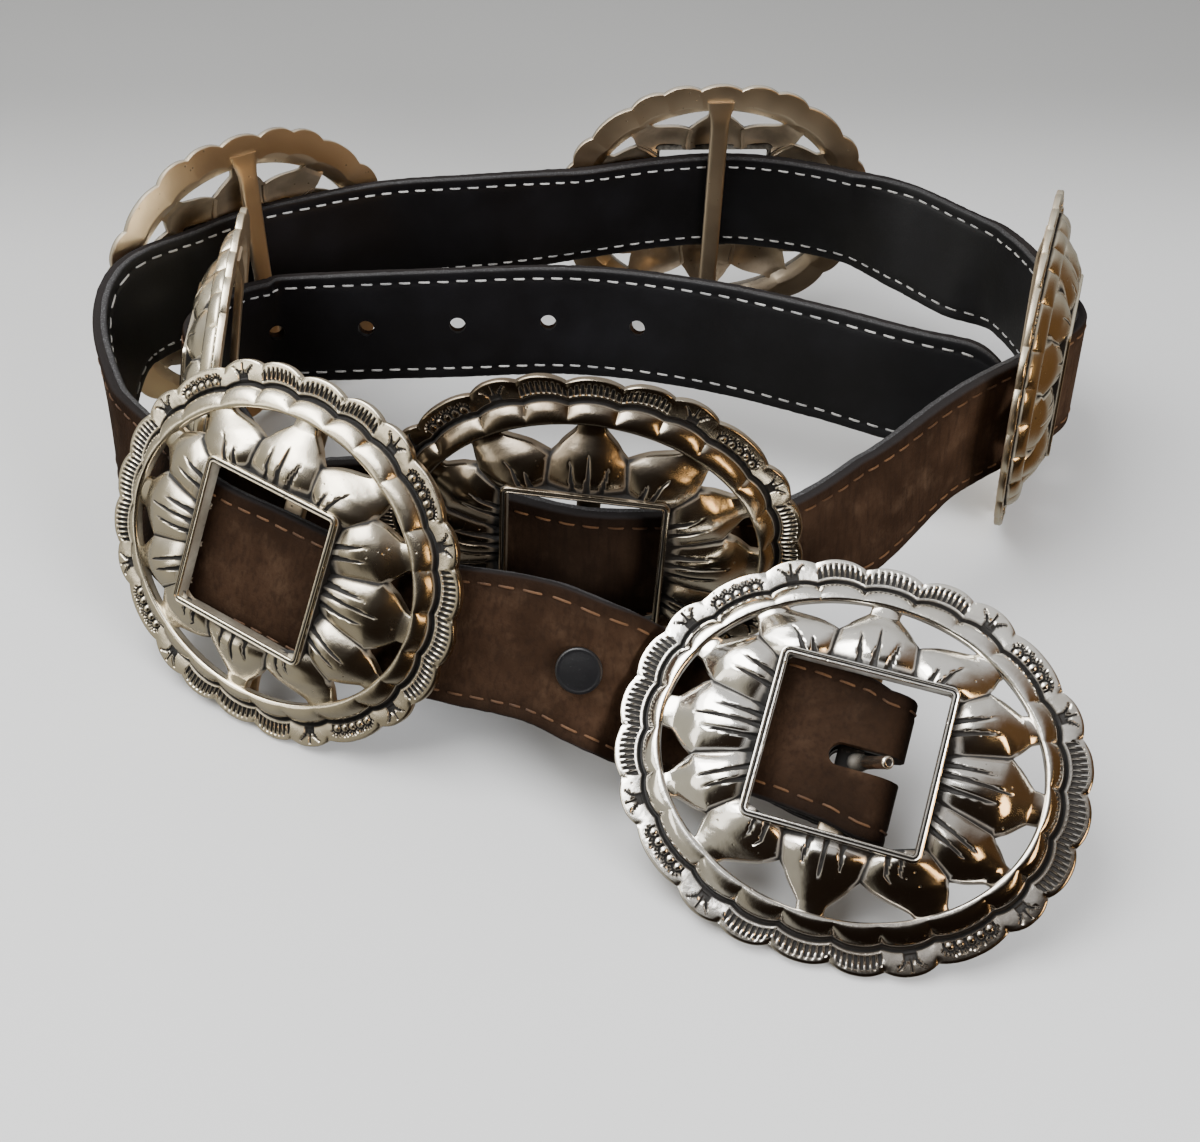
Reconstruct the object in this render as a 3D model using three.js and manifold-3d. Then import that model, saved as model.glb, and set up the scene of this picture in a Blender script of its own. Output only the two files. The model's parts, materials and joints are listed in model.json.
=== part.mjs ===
import * as THREE from "three";
import { mergeVertices } from "three/addons/utils/BufferGeometryUtils.js";
import Module from "manifold-3d";

// Concho belt: a two-ply leather strap threaded through a pierced silver buckle and six pierced
// silver conchos, laid out as a loop whose tip end runs on inside. Millimetres, +Z up, and the
// buckle towards -Y. Every casting stands on its rim on the surface z = 0.

const wasm = await Module();
wasm.setup();

// Loop: centre to centre, left to right conchos and buckle to back concho
const loopWidth = 224;
const loopDepth = 230;

// Strap
const strapWidth = 32;
const leatherThickness = 2.2;
const liningThickness = 1.5;
const foldRadius = 3.5;
const foldReach = 5.4;
const foldBackLength = 79;
const tipRound = 15;
const tipHole = 4.6;
const tipHoleCount = 5;
const tipHolePitch = 26;
const tipHoleFromEnd = 97.5;
const slotWidth = 5;
const slotLength = 9.7;

// Casting outline, raised ring and opening, as full lengths along the strap and heights across it
const castingLength = 100;
const castingHeight = 85;
const ringLength = 86.6;
const ringHeight = 74.6;
const openingLength = 80;
const openingHeight = 66.4;
const lobeRise = 1.7;
const ringLobeRise = 1.2;
const rimThickness = 1.8;
const ringEdge = 1.6;
const ringCrest = 3.3;
const lipThickness = 2.3;

// Window frame and petals
const windowLength = 34.6;
const windowHeight = 34;
const frameWall = 1.6;
const frameTop = 9;
const frameDepth = 3.4;
const petalThickness = 1.6;

// Bar behind the opening, and the buckle's peg
const barWidth = 5.5;
const barThickness = 2.1;
const pegDiameter = 2.8;
const pegLength = 12.6;
const pegTilt = 33;

// Snaps
const snapDiameter = 10.5;
const snapHeight = 1.7;
const postDiameter = 4;
const studDiameter = 5.6;
const studHeight = 1.2;
const snapSeat = 0.9;
const snapsFromBar = [22, 66.5];

const gap = 0.3;
const plyGap = 0.5;

const leather = { color: 0x4a3424, roughness: 0.82, metalness: 0 };
const blackLeather = { color: 0x17171a, roughness: 0.7, metalness: 0 };
const silver = { color: 0xb9b4aa, roughness: 0.3, metalness: 1 };
const blackSteel = { color: 0x141416, roughness: 0.42, metalness: 0.4 };

// One row for each casting in the order that the strap passes them. x and y are shares of the
// loop's width and depth, angles are in degrees. rise, bulge, shoulder and the entry and exit
// columns are shares of the strap's width: how far up the casting the strap crosses, and how far
// out of the rim's front plane its middle lies at the bar, beside the window and at the rim.
// outTwist is how far the strap has turned about its own run when it leaves, in degrees.
const castings = [
  {
    name: "buckle", x: 0.2066, y: -0.5072, yaw: -13.5, lean: 55.5, roll: -5.7,
    riseIn: 0, riseOut: 0.1, bulge: 0, shoulder: -0.02,
    inAt: 0, inOut: 0, outAt: 1.4, outOut: -0.325, outTwist: 18,
  },
  {
    name: "concho_1", x: -0.361, y: -0.2817, yaw: -29.5, lean: 26.2, roll: -6.4,
    riseIn: -0.12, riseOut: -0.17, bulge: 0.05, shoulder: 0.035,
    inAt: 1.36, inOut: -0.23, outAt: 1.5, outOut: -0.35, outTwist: 0,
  },
  {
    name: "concho_2", x: -0.481, y: 0.284, yaw: 223.7, lean: -4, roll: 2.7,
    riseIn: 0.13, riseOut: 0.13, bulge: 0.055, shoulder: -0.035,
    inAt: 1.4, inOut: -0.26, outAt: 1.36, outOut: -0.25, outTwist: 0,
  },
  {
    name: "concho_3", x: 0.135, y: 0.498, yaw: 182.5, lean: 8, roll: 0.6,
    riseIn: 0.03, riseOut: 0.03, bulge: 0.06, shoulder: -0.01,
    inAt: 1.36, inOut: -0.19, outAt: 1.36, outOut: -0.3, outTwist: 0,
  },
  {
    name: "concho_4", x: 0.5, y: 0.075, yaw: 70.9, lean: 1.7, roll: 0,
    riseIn: -0.03, riseOut: -0.03, bulge: 0.3, shoulder: 0.05,
    inAt: 1.44, inOut: -0.47, outAt: 1.44, outOut: -0.47, outTwist: 0,
  },
  {
    name: "concho_5", x: -0.0417, y: -0.2709, yaw: -6.7, lean: -1, roll: -3.3,
    riseIn: -0.2, riseOut: -0.2, bulge: 0.06, shoulder: -0.04,
    inAt: 1.36, inOut: -0.26, outAt: 1.42, outOut: -0.25, outTwist: 0,
  },
  {
    name: "concho_6", x: -0.479, y: 0.038, yaw: -85, lean: 12.1, roll: 0,
    riseIn: -0.02, riseOut: -0.02, bulge: 0.27, shoulder: 0.035,
    inAt: 1.18, inOut: -0.24, outAt: 0.94, outOut: -0.33, outTwist: 0,
  },
];

// Strap between the castings: after which casting, shares of the loop's width and depth, lift of
// the middle as a share of the strap's width, and lean of the strap in degrees, top inwards.
const spans = [
  { after: "buckle", x: -0.03, y: -0.415, lift: 0.95, lean: 31 },
  { after: "buckle", x: -0.085, y: -0.395, lift: 1.04, lean: 30 },
  { after: "concho_1", x: -0.582, y: -0.043, lift: 1.12, lean: 6 },
  { after: "concho_1", x: -0.609, y: 0.048, lift: 1.28, lean: 0 },
  { after: "concho_2", x: -0.174, y: 0.412, lift: 1.33, lean: 0 },
  { after: "concho_3", x: 0.397, y: 0.407, lift: 1.31, lean: -14 },
  { after: "concho_3", x: 0.46, y: 0.326, lift: 1.31, lean: -14 },
  { after: "concho_4", x: 0.259, y: -0.196, lift: 1.15, lean: 10 },
  { after: "concho_5", x: -0.384, y: -0.178, lift: 1.08, lean: 5 },
  { after: "concho_6", x: -0.402, y: 0.176, lift: 1.24, lean: -6 },
  { after: "concho_6", x: -0.232, y: 0.18, lift: 1.27, lean: -9 },
  { after: "concho_6", x: -0.054, y: 0.187, lift: 1.27, lean: -9 },
  { after: "concho_6", x: 0.1, y: 0.152, lift: 1.27, lean: -9 },
  { after: "concho_6", x: 0.241, y: 0.089, lift: 1.27, lean: -9 },
  { after: "concho_6", x: 0.339, y: 0.035, lift: 1.27, lean: -9 },
  { after: "concho_6", x: 0.42, y: 0.007, lift: 1.27, lean: -9 },
];

// Scallops of one quadrant from the top round to the side: where each notch between two lobes
// lies, as shares of half the outline's and half the ring's sizes.
const scallops = [
  { outU: 0.126, outV: 0.972, ringU: 0.127, ringV: 0.971 },
  { outU: 0.349, outV: 0.944, ringU: 0.356, ringV: 0.936 },
  { outU: 0.547, outV: 0.833, ringU: 0.58, ringV: 0.818 },
  { outU: 0.784, outV: 0.6, ringU: 0.811, ringV: 0.598 },
  { outU: 0.903, outV: 0.396, ringU: 0.928, ringV: 0.386 },
  { outU: 0.968, outV: 0.134, ringU: 0.982, ringV: 0.134 },
];

// Star of twelve petals, right half from the top down: corners of the gaps as shares of half the
// opening's sizes. The corners on the ring are where petal tips run into it.
const petalCorners = [
  { u: 0.07, v: 0.955, onRing: true },
  { u: 0.202, v: 0.768, onRing: false },
  { u: 0.518, v: 0.84, onRing: true },
  { u: 0.66, v: 0.726, onRing: true },
  { u: 0.605, v: 0.602, onRing: false },
  { u: 0.815, v: 0.521, onRing: true },
  { u: 0.882, v: 0.377, onRing: true },
  { u: 0.785, v: 0.247, onRing: false },
  { u: 0.942, v: 0.081, onRing: true },
  { u: 0.938, v: -0.096, onRing: true },
  { u: 0.782, v: -0.256, onRing: false },
  { u: 0.885, v: -0.398, onRing: true },
  { u: 0.82, v: -0.521, onRing: true },
  { u: 0.62, v: -0.578, onRing: false },
  { u: 0.658, v: -0.735, onRing: true },
  { u: 0.512, v: -0.831, onRing: true },
  { u: 0.198, v: -0.726, onRing: false },
  { u: 0.065, v: -0.949, onRing: true },
];

function solidOf(geometry) {
  const plain = geometry.clone();
  plain.deleteAttribute("normal");
  plain.deleteAttribute("uv");
  const merged = mergeVertices(plain, 1e-4);
  const vertProperties = new Float32Array(merged.attributes.position.array);
  const triVerts = new Uint32Array(merged.index.array);
  return new wasm.Manifold(new wasm.Mesh({ numProp: 3, vertProperties, triVerts }));
}

function geometryOf(solid) {
  const mesh = solid.getMesh();
  const geometry = new THREE.BufferGeometry();
  geometry.setAttribute("position", new THREE.BufferAttribute(new Float32Array(mesh.vertProperties), 3));
  geometry.setIndex(new THREE.BufferAttribute(new Uint32Array(mesh.triVerts), 1));
  return geometry;
}

// A closed skin over a grid of points: rows run round the section, and the rows themselves either
// close on each other or end in flat caps. The faces are turned to point outwards.
function skin(rows, closed) {
  const across = rows[0].length;
  const positions = rows.flat().flatMap((p) => [p.x, p.y, p.z]);
  const index = [];
  const last = closed ? rows.length : rows.length - 1;
  for (let i = 0; i < last; i++) {
    const next = (i + 1) % rows.length;
    for (let j = 0; j < across; j++) {
      const k = (j + 1) % across;
      const [a, b, c, d] = [i * across + j, next * across + j, next * across + k, i * across + k];
      if (2 * j < across) index.push(a, b, c, a, c, d);
      else index.push(a, b, d, b, c, d);
    }
  }
  if (!closed) {
    const end = (rows.length - 1) * across;
    for (let j = 1; j < across - 1; j++) {
      index.push(0, j, j + 1);
      index.push(end, end + j + 1, end + j);
    }
  }
  const geometry = new THREE.BufferGeometry();
  geometry.setAttribute("position", new THREE.Float32BufferAttribute(positions, 3));
  geometry.setIndex(signedVolume(positions, index) < 0 ? index.reverse() : index);
  return geometry;
}

function signedVolume(positions, index) {
  const corner = (i) => new THREE.Vector3().fromArray(positions, 3 * i);
  let volume = 0;
  for (let i = 0; i < index.length; i += 3) {
    volume += corner(index[i]).dot(corner(index[i + 1]).cross(corner(index[i + 2])));
  }
  return volume;
}

// The scalloped outline and ring of a casting, as matching points round the whole oval
function scallopedOval() {
  const quadrants = [[1, 1], [1, -1], [-1, -1], [-1, 1]];
  const notches = quadrants.flatMap(([across, up]) => {
    const inOrder = across === up ? scallops : [...scallops].reverse();
    return inOrder.map(({ outU, outV, ringU, ringV }) => ({
      outline: new THREE.Vector2((across * outU * castingLength) / 2, (up * outV * castingHeight) / 2),
      ring: new THREE.Vector2((across * ringU * ringLength) / 2, (up * ringV * ringHeight) / 2),
    }));
  });
  return notches.flatMap((notch, i) => {
    const next = notches[(i + 1) % notches.length];
    const outline = lobeTop(notch.outline, next.outline, lobeRise);
    return [notch, { outline, ring: lobeTop(notch.ring, next.ring, ringLobeRise) }];
  });
}

function lobeTop(from, to, rise) {
  const chord = to.clone().sub(from);
  const outward = new THREE.Vector2(-chord.y, chord.x);
  if (outward.dot(from) < 0) outward.negate();
  return from.clone().add(to).multiplyScalar(0.5).add(outward.setLength(rise));
}

function openingPoint(point, grow = 0) {
  const angle = Math.atan2(point.y / openingHeight, point.x / openingLength);
  return new THREE.Vector2(
    Math.cos(angle) * (openingLength / 2 + grow),
    Math.sin(angle) * (openingHeight / 2 + grow),
  );
}

function towards(point, target, distance) {
  return point.clone().add(target.clone().sub(point).setLength(distance));
}

const at = (point, w) => new THREE.Vector3(point.x, point.y, w);

// Flat scalloped rim, and the raised ring that climbs to the lip of the oval opening
function rimGeometry() {
  const edgeInset = 0.8;
  const backInset = 1.2;
  const rows = scallopedOval().map(({ outline, ring }) => {
    const lip = openingPoint(ring);
    return [
      at(outline, -rimThickness),
      at(outline, 0),
      at(ring, 0),
      at(towards(ring, lip, edgeInset), ringEdge),
      at(lip, ringCrest),
      at(lip, ringCrest - lipThickness),
      at(towards(ring, lip, backInset), -rimThickness),
    ];
  });
  return skin(rows, true);
}

// How far a point lies between the window's frame and the opening, and the petals' top there
function petalTop(point) {
  const edge = openingPoint(point);
  const inner = frameWallPoint(point);
  const reach = (point.length() - inner.length()) / (edge.length() - inner.length());
  const slope = THREE.MathUtils.clamp(reach, 0, 1);
  return THREE.MathUtils.lerp(frameTop - frameWall, ringCrest - frameWall / 2, slope);
}

// Where the ray to a point crosses the middle of the frame's wall, drawn to a near corner
function frameWallPoint(point) {
  const halfLength = (windowLength + frameWall) / 2;
  const halfHeight = (windowHeight + frameWall) / 2;
  const scale = Math.min(halfLength / Math.abs(point.x), halfHeight / Math.abs(point.y));
  const wall = point.clone().multiplyScalar(scale);
  const corner = new THREE.Vector2(Math.sign(point.x) * halfLength, Math.sign(point.y) * halfHeight);
  return wall.distanceTo(corner) < frameWall ? corner : wall;
}

function flowerGeometry() {
  const intoRing = 0.9;
  const mirrored = [...petalCorners].reverse().map((corner) => ({ ...corner, u: -corner.u }));
  const rows = [...petalCorners, ...mirrored].map((corner) => {
    const point = new THREE.Vector2((corner.u * openingLength) / 2, (corner.v * openingHeight) / 2);
    const outer = corner.onRing ? openingPoint(point, intoRing) : point;
    const inner = frameWallPoint(point);
    const outerTop = petalTop(outer);
    const innerTop = petalTop(inner);
    return [
      at(inner, innerTop - petalThickness),
      at(inner, innerTop),
      at(outer, outerTop),
      at(outer, outerTop - petalThickness),
    ];
  });
  return skin(rows, true);
}

function rectangle(length, height, Kind) {
  const path = new Kind();
  path.moveTo(-length / 2, -height / 2);
  path.lineTo(length / 2, -height / 2);
  path.lineTo(length / 2, height / 2);
  path.lineTo(-length / 2, height / 2);
  path.closePath();
  return path;
}

function windowFrameGeometry() {
  const shape = rectangle(windowLength + 2 * frameWall, windowHeight + 2 * frameWall, THREE.Shape);
  shape.holes.push(rectangle(windowLength, windowHeight, THREE.Path));
  const frame = new THREE.ExtrudeGeometry(shape, { depth: frameDepth, bevelEnabled: false });
  return frame.translate(0, 0, frameTop - frameDepth);
}

const barTop = -rimThickness + gap;

function barGeometry() {
  const bar = new THREE.BoxGeometry(barWidth, ringHeight + gap, barThickness);
  return bar.translate(0, 0, barTop - barThickness / 2);
}

function pegGeometry() {
  const peg = new THREE.CylinderGeometry(pegDiameter / 2, pegDiameter / 2, pegLength, 10);
  peg.rotateX(Math.PI / 2);
  peg.translate(0, 0, pegLength / 2);
  peg.rotateY(THREE.MathUtils.degToRad(pegTilt));
  return peg.translate(barWidth / 4, 0, barTop - barThickness / 2);
}

function castingSolid(withPeg) {
  const pieces = [flowerGeometry(), windowFrameGeometry(), barGeometry()];
  if (withPeg) pieces.push(pegGeometry());
  return pieces.reduce((whole, piece) => whole.add(solidOf(piece)), solidOf(rimGeometry()));
}

// Axes of a casting: u along the strap, v up across it and w out of its face. The casting then
// stands on the lowest point of its rim.
function castingFrame(row) {
  const yaw = THREE.MathUtils.degToRad(row.yaw);
  const lean = THREE.MathUtils.degToRad(row.lean);
  const roll = THREE.MathUtils.degToRad(row.roll);
  const w = new THREE.Vector3(Math.sin(yaw) * Math.cos(lean), -Math.cos(yaw) * Math.cos(lean), Math.sin(lean));
  const along = new THREE.Vector3(Math.cos(yaw), Math.sin(yaw), 0);
  const up = new THREE.Vector3().crossVectors(w, along);
  const u = along.clone().multiplyScalar(Math.cos(roll)).addScaledVector(up, Math.sin(roll));
  const v = up.clone().multiplyScalar(Math.cos(roll)).addScaledVector(along, -Math.sin(roll));
  const heights = scallopedOval().flatMap(({ outline }) => {
    const front = u.z * outline.x + v.z * outline.y;
    return [front, front - rimThickness * w.z];
  });
  const origin = new THREE.Vector3(row.x * loopWidth, row.y * loopDepth, -Math.min(...heights));
  return { u, v, w, origin };
}

function fromFrame(frame, u, v, w) {
  return frame.origin.clone()
    .addScaledVector(frame.u, u)
    .addScaledVector(frame.v, v)
    .addScaledVector(frame.w, w);
}

const leatherOut = plyGap / 2 + leatherThickness;
const liningIn = plyGap / 2 + liningThickness;
const barFront = barTop + 2 * gap + liningIn;
const foldCentre = barTop - barThickness / 2;

// Strap stations in the order of travel, from the bar of the buckle to the tip: the middle of the
// strap's thickness and width, and the direction across it
function mainStations() {
  const windowReach = (windowLength / 2 + frameWall) / strapWidth;
  const stations = [];
  castings.forEach((row) => {
    const frame = castingFrame(row);
    const marks = [
      { along: row.inAt, out: row.inOut, rise: row.riseIn },
      { along: windowReach, out: row.shoulder, rise: row.riseIn },
      { along: 0, out: row.bulge, rise: (row.riseIn + row.riseOut) / 2 },
      { along: -windowReach, out: row.shoulder, rise: row.riseOut },
      { along: -row.outAt, out: row.outOut, rise: row.riseOut, twist: row.outTwist },
    ].slice(row.name === "buckle" ? 2 : 0);
    marks.forEach(({ along, out, rise, twist = 0 }) => {
      const w = along === 0 ? Math.max(out * strapWidth, barFront) : out * strapWidth;
      const point = fromFrame(frame, along * strapWidth, rise * strapWidth, w);
      const across = frame.v.clone().applyAxisAngle(frame.u, THREE.MathUtils.degToRad(twist));
      stations.push({ point, across });
    });
    spans.filter((span) => span.after === row.name).forEach((span) => {
      const point = new THREE.Vector3(span.x * loopWidth, span.y * loopDepth, span.lift * strapWidth);
      stations.push({ point, lean: span.lean });
    });
  });
  stations.forEach((station, i) => {
    if (station.across) return;
    const before = stations[i - 1].point;
    const after = stations[Math.min(i + 1, stations.length - 1)].point;
    const travel = after.clone().sub(before).setZ(0).normalize();
    const inward = new THREE.Vector3(travel.y, -travel.x, 0);
    const lean = THREE.MathUtils.degToRad(station.lean);
    station.across = new THREE.Vector3(0, 0, Math.cos(lean)).addScaledVector(inward, Math.sin(lean));
  });
  return stations;
}

// A smooth line through stations, cut into short steps where it bends and long ones where it runs
function smoothLine(stations, turn, step) {
  const curve = new THREE.CatmullRomCurve3(stations.map((s) => s.point), false, "centripetal");
  const fine = 24 * (stations.length - 1);
  const sample = (i) => {
    const whole = (i / fine) * (stations.length - 1);
    const first = Math.min(Math.floor(whole), stations.length - 2);
    const tangent = curve.getTangent(i / fine);
    const across = stations[first].across.clone().lerp(stations[first + 1].across, whole - first);
    across.addScaledVector(tangent, -across.dot(tangent)).normalize();
    const out = new THREE.Vector3().crossVectors(across, tangent);
    return { point: curve.getPoint(i / fine), tangent, across, out };
  };
  const kept = [sample(0)];
  let previous = kept[0];
  let length = 0;
  kept[0].length = 0;
  for (let i = 1; i <= fine; i++) {
    const here = sample(i);
    length += here.point.distanceTo(previous.point);
    here.length = length;
    previous = here;
    const last = kept.at(-1);
    const bend = Math.max(last.tangent.angleTo(here.tangent), last.across.angleTo(here.across));
    if (bend > turn || length - last.length > step || i === fine) kept.push(here);
  }
  return kept;
}

function stationAt(line, length) {
  const i = Math.max(1, line.findIndex((s) => s.length >= length));
  const [a, b] = [line[i - 1], line[i]];
  const t = (length - a.length) / (b.length - a.length);
  const mix = (key) => a[key].clone().lerp(b[key], t);
  return { point: mix("point"), across: mix("across").normalize(), out: mix("out").normalize(), length };
}

// The whole strap line: the end folded back behind the buckle's bar, the fold and the main run
function wholeLine(mainLine) {
  const buckle = castingFrame(castings[0]);
  const nested = 2 * liningIn + gap;
  const besideBar = 2 * (barFront - foldCentre);
  const settles = windowLength / 4;
  const doubled = mainLine.filter((s) => s.length < foldBackLength).reverse();
  const foldBack = [stationAt(mainLine, foldBackLength), ...doubled].map((s) => {
    const settled = THREE.MathUtils.clamp((s.length - barWidth) / settles, 0, 1);
    const drop = THREE.MathUtils.lerp(besideBar, nested, settled);
    return { point: s.point.clone().addScaledVector(s.out, -drop), across: s.across, out: s.out.clone().negate() };
  });
  const steps = 8;
  const fold = Array.from({ length: steps + 1 }, (_, i) => {
    const angle = Math.PI * (i / steps - 0.5);
    const u = foldReach + foldRadius * Math.cos(angle);
    const w = foldCentre + (barFront - foldCentre) * Math.sin(angle);
    const out = buckle.u.clone().multiplyScalar(Math.cos(angle)).addScaledVector(buckle.w, Math.sin(angle));
    return { point: fromFrame(buckle, u, 0, w), across: buckle.v, out };
  });
  const line = [...foldBack, ...fold, ...mainLine];
  let length = 0;
  return line.map((s, i) => {
    length += s.point.distanceTo(line[Math.max(i - 1, 0)].point);
    return { ...s, length };
  });
}

function ribbon(line, inner, outer) {
  const end = line.at(-1).length;
  const rows = line.map(({ point, across, out, length }) => {
    const left = THREE.MathUtils.clamp((end - length) / tipRound, 0, 1);
    const half = (strapWidth / 2) * Math.sqrt(1 - 0.9 * (1 - left) ** 2);
    return [[inner, -half], [outer, -half], [outer, half], [inner, half]].map(([o, a]) =>
      point.clone().addScaledVector(out, o).addScaledVector(across, a),
    );
  });
  return skin(rows, false);
}

// A rod through the strap's thickness at a station, for a hole
function punch({ point, across, out }, diameter, depth) {
  const rod = new THREE.CylinderGeometry(diameter / 2, diameter / 2, depth, 12);
  rod.rotateX(Math.PI / 2);
  const along = new THREE.Vector3().crossVectors(across, out);
  rod.applyMatrix4(new THREE.Matrix4().makeBasis(along, across, out).setPosition(point));
  return solidOf(rod);
}

function slotCutter(buckle) {
  const round = slotWidth / 2;
  const reach = foldReach + foldRadius + leatherOut + gap;
  const shape = new THREE.Shape();
  shape.moveTo(reach, -round);
  shape.lineTo(reach, round);
  shape.lineTo(foldReach - slotLength + round, round);
  shape.absarc(foldReach - slotLength + round, 0, round, Math.PI / 2, -Math.PI / 2 - 2 * Math.PI, false);
  shape.closePath();
  const depth = 2 * (barFront - foldCentre + leatherOut + gap);
  const cutter = new THREE.ExtrudeGeometry(shape, { depth, bevelEnabled: false, curveSegments: 8 });
  cutter.translate(0, 0, foldCentre - depth / 2);
  const basis = new THREE.Matrix4().makeBasis(buckle.u, buckle.v, buckle.w).setPosition(buckle.origin);
  return solidOf(cutter.applyMatrix4(basis));
}

// Cap, post and back stud in one, with the post along +Z and the cap's foot at z = 0
function snapGeometry() {
  const cap = snapDiameter / 2;
  const post = postDiameter / 2;
  const stud = studDiameter / 2;
  const deep = 2 * (leatherOut + liningIn + snapSeat) + gap;
  const profile = [
    [0, -deep - studHeight],
    [stud, -deep - studHeight],
    [stud, -deep],
    [post, -deep],
    [post, 0],
    [cap, 0],
    [cap, snapHeight * 0.4],
    [cap * 0.72, snapHeight * 0.9],
    [0, snapHeight],
  ];
  const points = profile.map(([r, z]) => new THREE.Vector2(r, z));
  return new THREE.LatheGeometry(points, 12).rotateX(Math.PI / 2);
}

const group = new THREE.Group();

function addMesh(name, geometry, look) {
  geometry.computeVertexNormals();
  const mesh = new THREE.Mesh(geometry, new THREE.MeshStandardMaterial(look));
  mesh.name = name;
  group.add(mesh);
  return mesh;
}

function placeOn(mesh, { u, v, w, origin }) {
  mesh.setRotationFromMatrix(new THREE.Matrix4().makeBasis(u, v, w));
  mesh.position.copy(origin);
}

const mainLine = smoothLine(mainStations(), 0.22, 18);
const strapLine = wholeLine(mainLine);
const strapEnd = strapLine.at(-1).length;
const snapSpots = snapsFromBar.map((length) => stationAt(mainLine, length));

const cutters = [slotCutter(castingFrame(castings[0]))];
snapSpots.forEach((spot) => cutters.push(punch(spot, postDiameter + 2 * gap, 8 * leatherOut)));
for (let i = 0; i < tipHoleCount; i++) {
  const spot = stationAt(strapLine, strapEnd - tipHoleFromEnd - i * tipHolePitch);
  cutters.push(punch(spot, tipHole, 4 * leatherOut));
}

function cutRibbon(inner, outer) {
  const whole = solidOf(ribbon(strapLine, inner, outer));
  return geometryOf(cutters.reduce((solid, cutter) => solid.subtract(cutter), whole));
}

addMesh("strap_leather", cutRibbon(plyGap / 2, leatherOut), leather);
addMesh("strap_lining", cutRibbon(-liningIn, -plyGap / 2), blackLeather);

snapSpots.forEach(({ point, across, out }, i) => {
  const along = new THREE.Vector3().crossVectors(across, out);
  const foot = point.clone().addScaledVector(out, leatherOut + snapSeat);
  const snap = addMesh(`snap_${i + 1}`, geometryOf(solidOf(snapGeometry())), blackSteel);
  placeOn(snap, { u: along, v: across, w: out, origin: foot });
});

const plainCasting = geometryOf(castingSolid(false));
castings.forEach((row) => {
  const geometry = row.name === "buckle" ? geometryOf(castingSolid(true)) : plainCasting.clone();
  placeOn(addMesh(row.name, geometry, silver), castingFrame(row));
});

// The part's origin is the bottom centre of its bounding box
group.updateMatrixWorld(true);
const centre = new THREE.Box3().setFromObject(group, true).getCenter(new THREE.Vector3());
group.position.set(-centre.x, -centre.y, 0);

export default group;
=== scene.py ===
import json
from math import cos, pi, radians, sin

import bpy
import numpy as np
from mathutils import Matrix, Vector

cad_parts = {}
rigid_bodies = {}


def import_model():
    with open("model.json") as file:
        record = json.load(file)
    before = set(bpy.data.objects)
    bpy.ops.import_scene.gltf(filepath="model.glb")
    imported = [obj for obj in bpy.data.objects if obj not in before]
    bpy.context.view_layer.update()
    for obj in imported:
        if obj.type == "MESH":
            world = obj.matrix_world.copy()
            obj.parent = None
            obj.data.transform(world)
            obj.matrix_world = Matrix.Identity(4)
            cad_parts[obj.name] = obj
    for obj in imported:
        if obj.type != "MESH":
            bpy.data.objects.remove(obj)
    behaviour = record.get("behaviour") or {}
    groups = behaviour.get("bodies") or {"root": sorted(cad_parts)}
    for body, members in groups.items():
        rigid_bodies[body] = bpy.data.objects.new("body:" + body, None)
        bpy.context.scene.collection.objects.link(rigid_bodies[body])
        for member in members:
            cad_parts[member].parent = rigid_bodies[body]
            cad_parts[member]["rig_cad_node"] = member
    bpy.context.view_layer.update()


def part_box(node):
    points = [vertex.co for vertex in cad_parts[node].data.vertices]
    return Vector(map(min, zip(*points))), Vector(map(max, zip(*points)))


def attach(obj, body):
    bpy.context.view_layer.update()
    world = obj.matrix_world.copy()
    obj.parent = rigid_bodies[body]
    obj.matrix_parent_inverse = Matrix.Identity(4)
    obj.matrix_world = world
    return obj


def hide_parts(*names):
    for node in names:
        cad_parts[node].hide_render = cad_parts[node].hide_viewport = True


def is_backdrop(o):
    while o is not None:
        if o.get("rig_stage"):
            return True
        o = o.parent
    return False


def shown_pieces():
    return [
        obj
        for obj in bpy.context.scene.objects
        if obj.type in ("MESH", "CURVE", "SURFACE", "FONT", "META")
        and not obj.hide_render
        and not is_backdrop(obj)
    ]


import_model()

# All tables below are in millimetres and degrees, in the way the belt is laid out:
# +Z up, the buckle towards -Y. Every casting has its own axes: u along the strap, v up
# across it, w out of its face.

mm = 0.001

layout = {"loopWidth": 224, "loopDepth": 230}

strap = {
    "width": 32, "leather": 2.2, "lining": 1.5, "plyGap": 0.5, "foldRadius": 3.5, "foldReach": 5.4,
    "foldBack": 79, "tipRound": 15, "tipHole": 4.6, "tipHoles": 5, "holePitch": 26,
    "firstHole": 105.8, "slotWidth": 5, "slotLength": 9.7, "step": 1.5, "gap": 0.3,
}

casting = {
    "length": 100, "height": 85, "ringLength": 86.6, "ringHeight": 74.6, "openLength": 80,
    "openHeight": 66.4, "lobeRise": 1.7, "ringRise": 1.2, "rim": 1.8, "ringEdge": 1.6, "crest": 3.3, "lip": 2.3,
    "windowLength": 34.6, "windowHeight": 34, "frameWall": 1.6, "frameTop": 9, "frameDepth": 3.4,
    "petal": 1.6, "barWidth": 5.5, "barThickness": 2.1,
}

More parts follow.
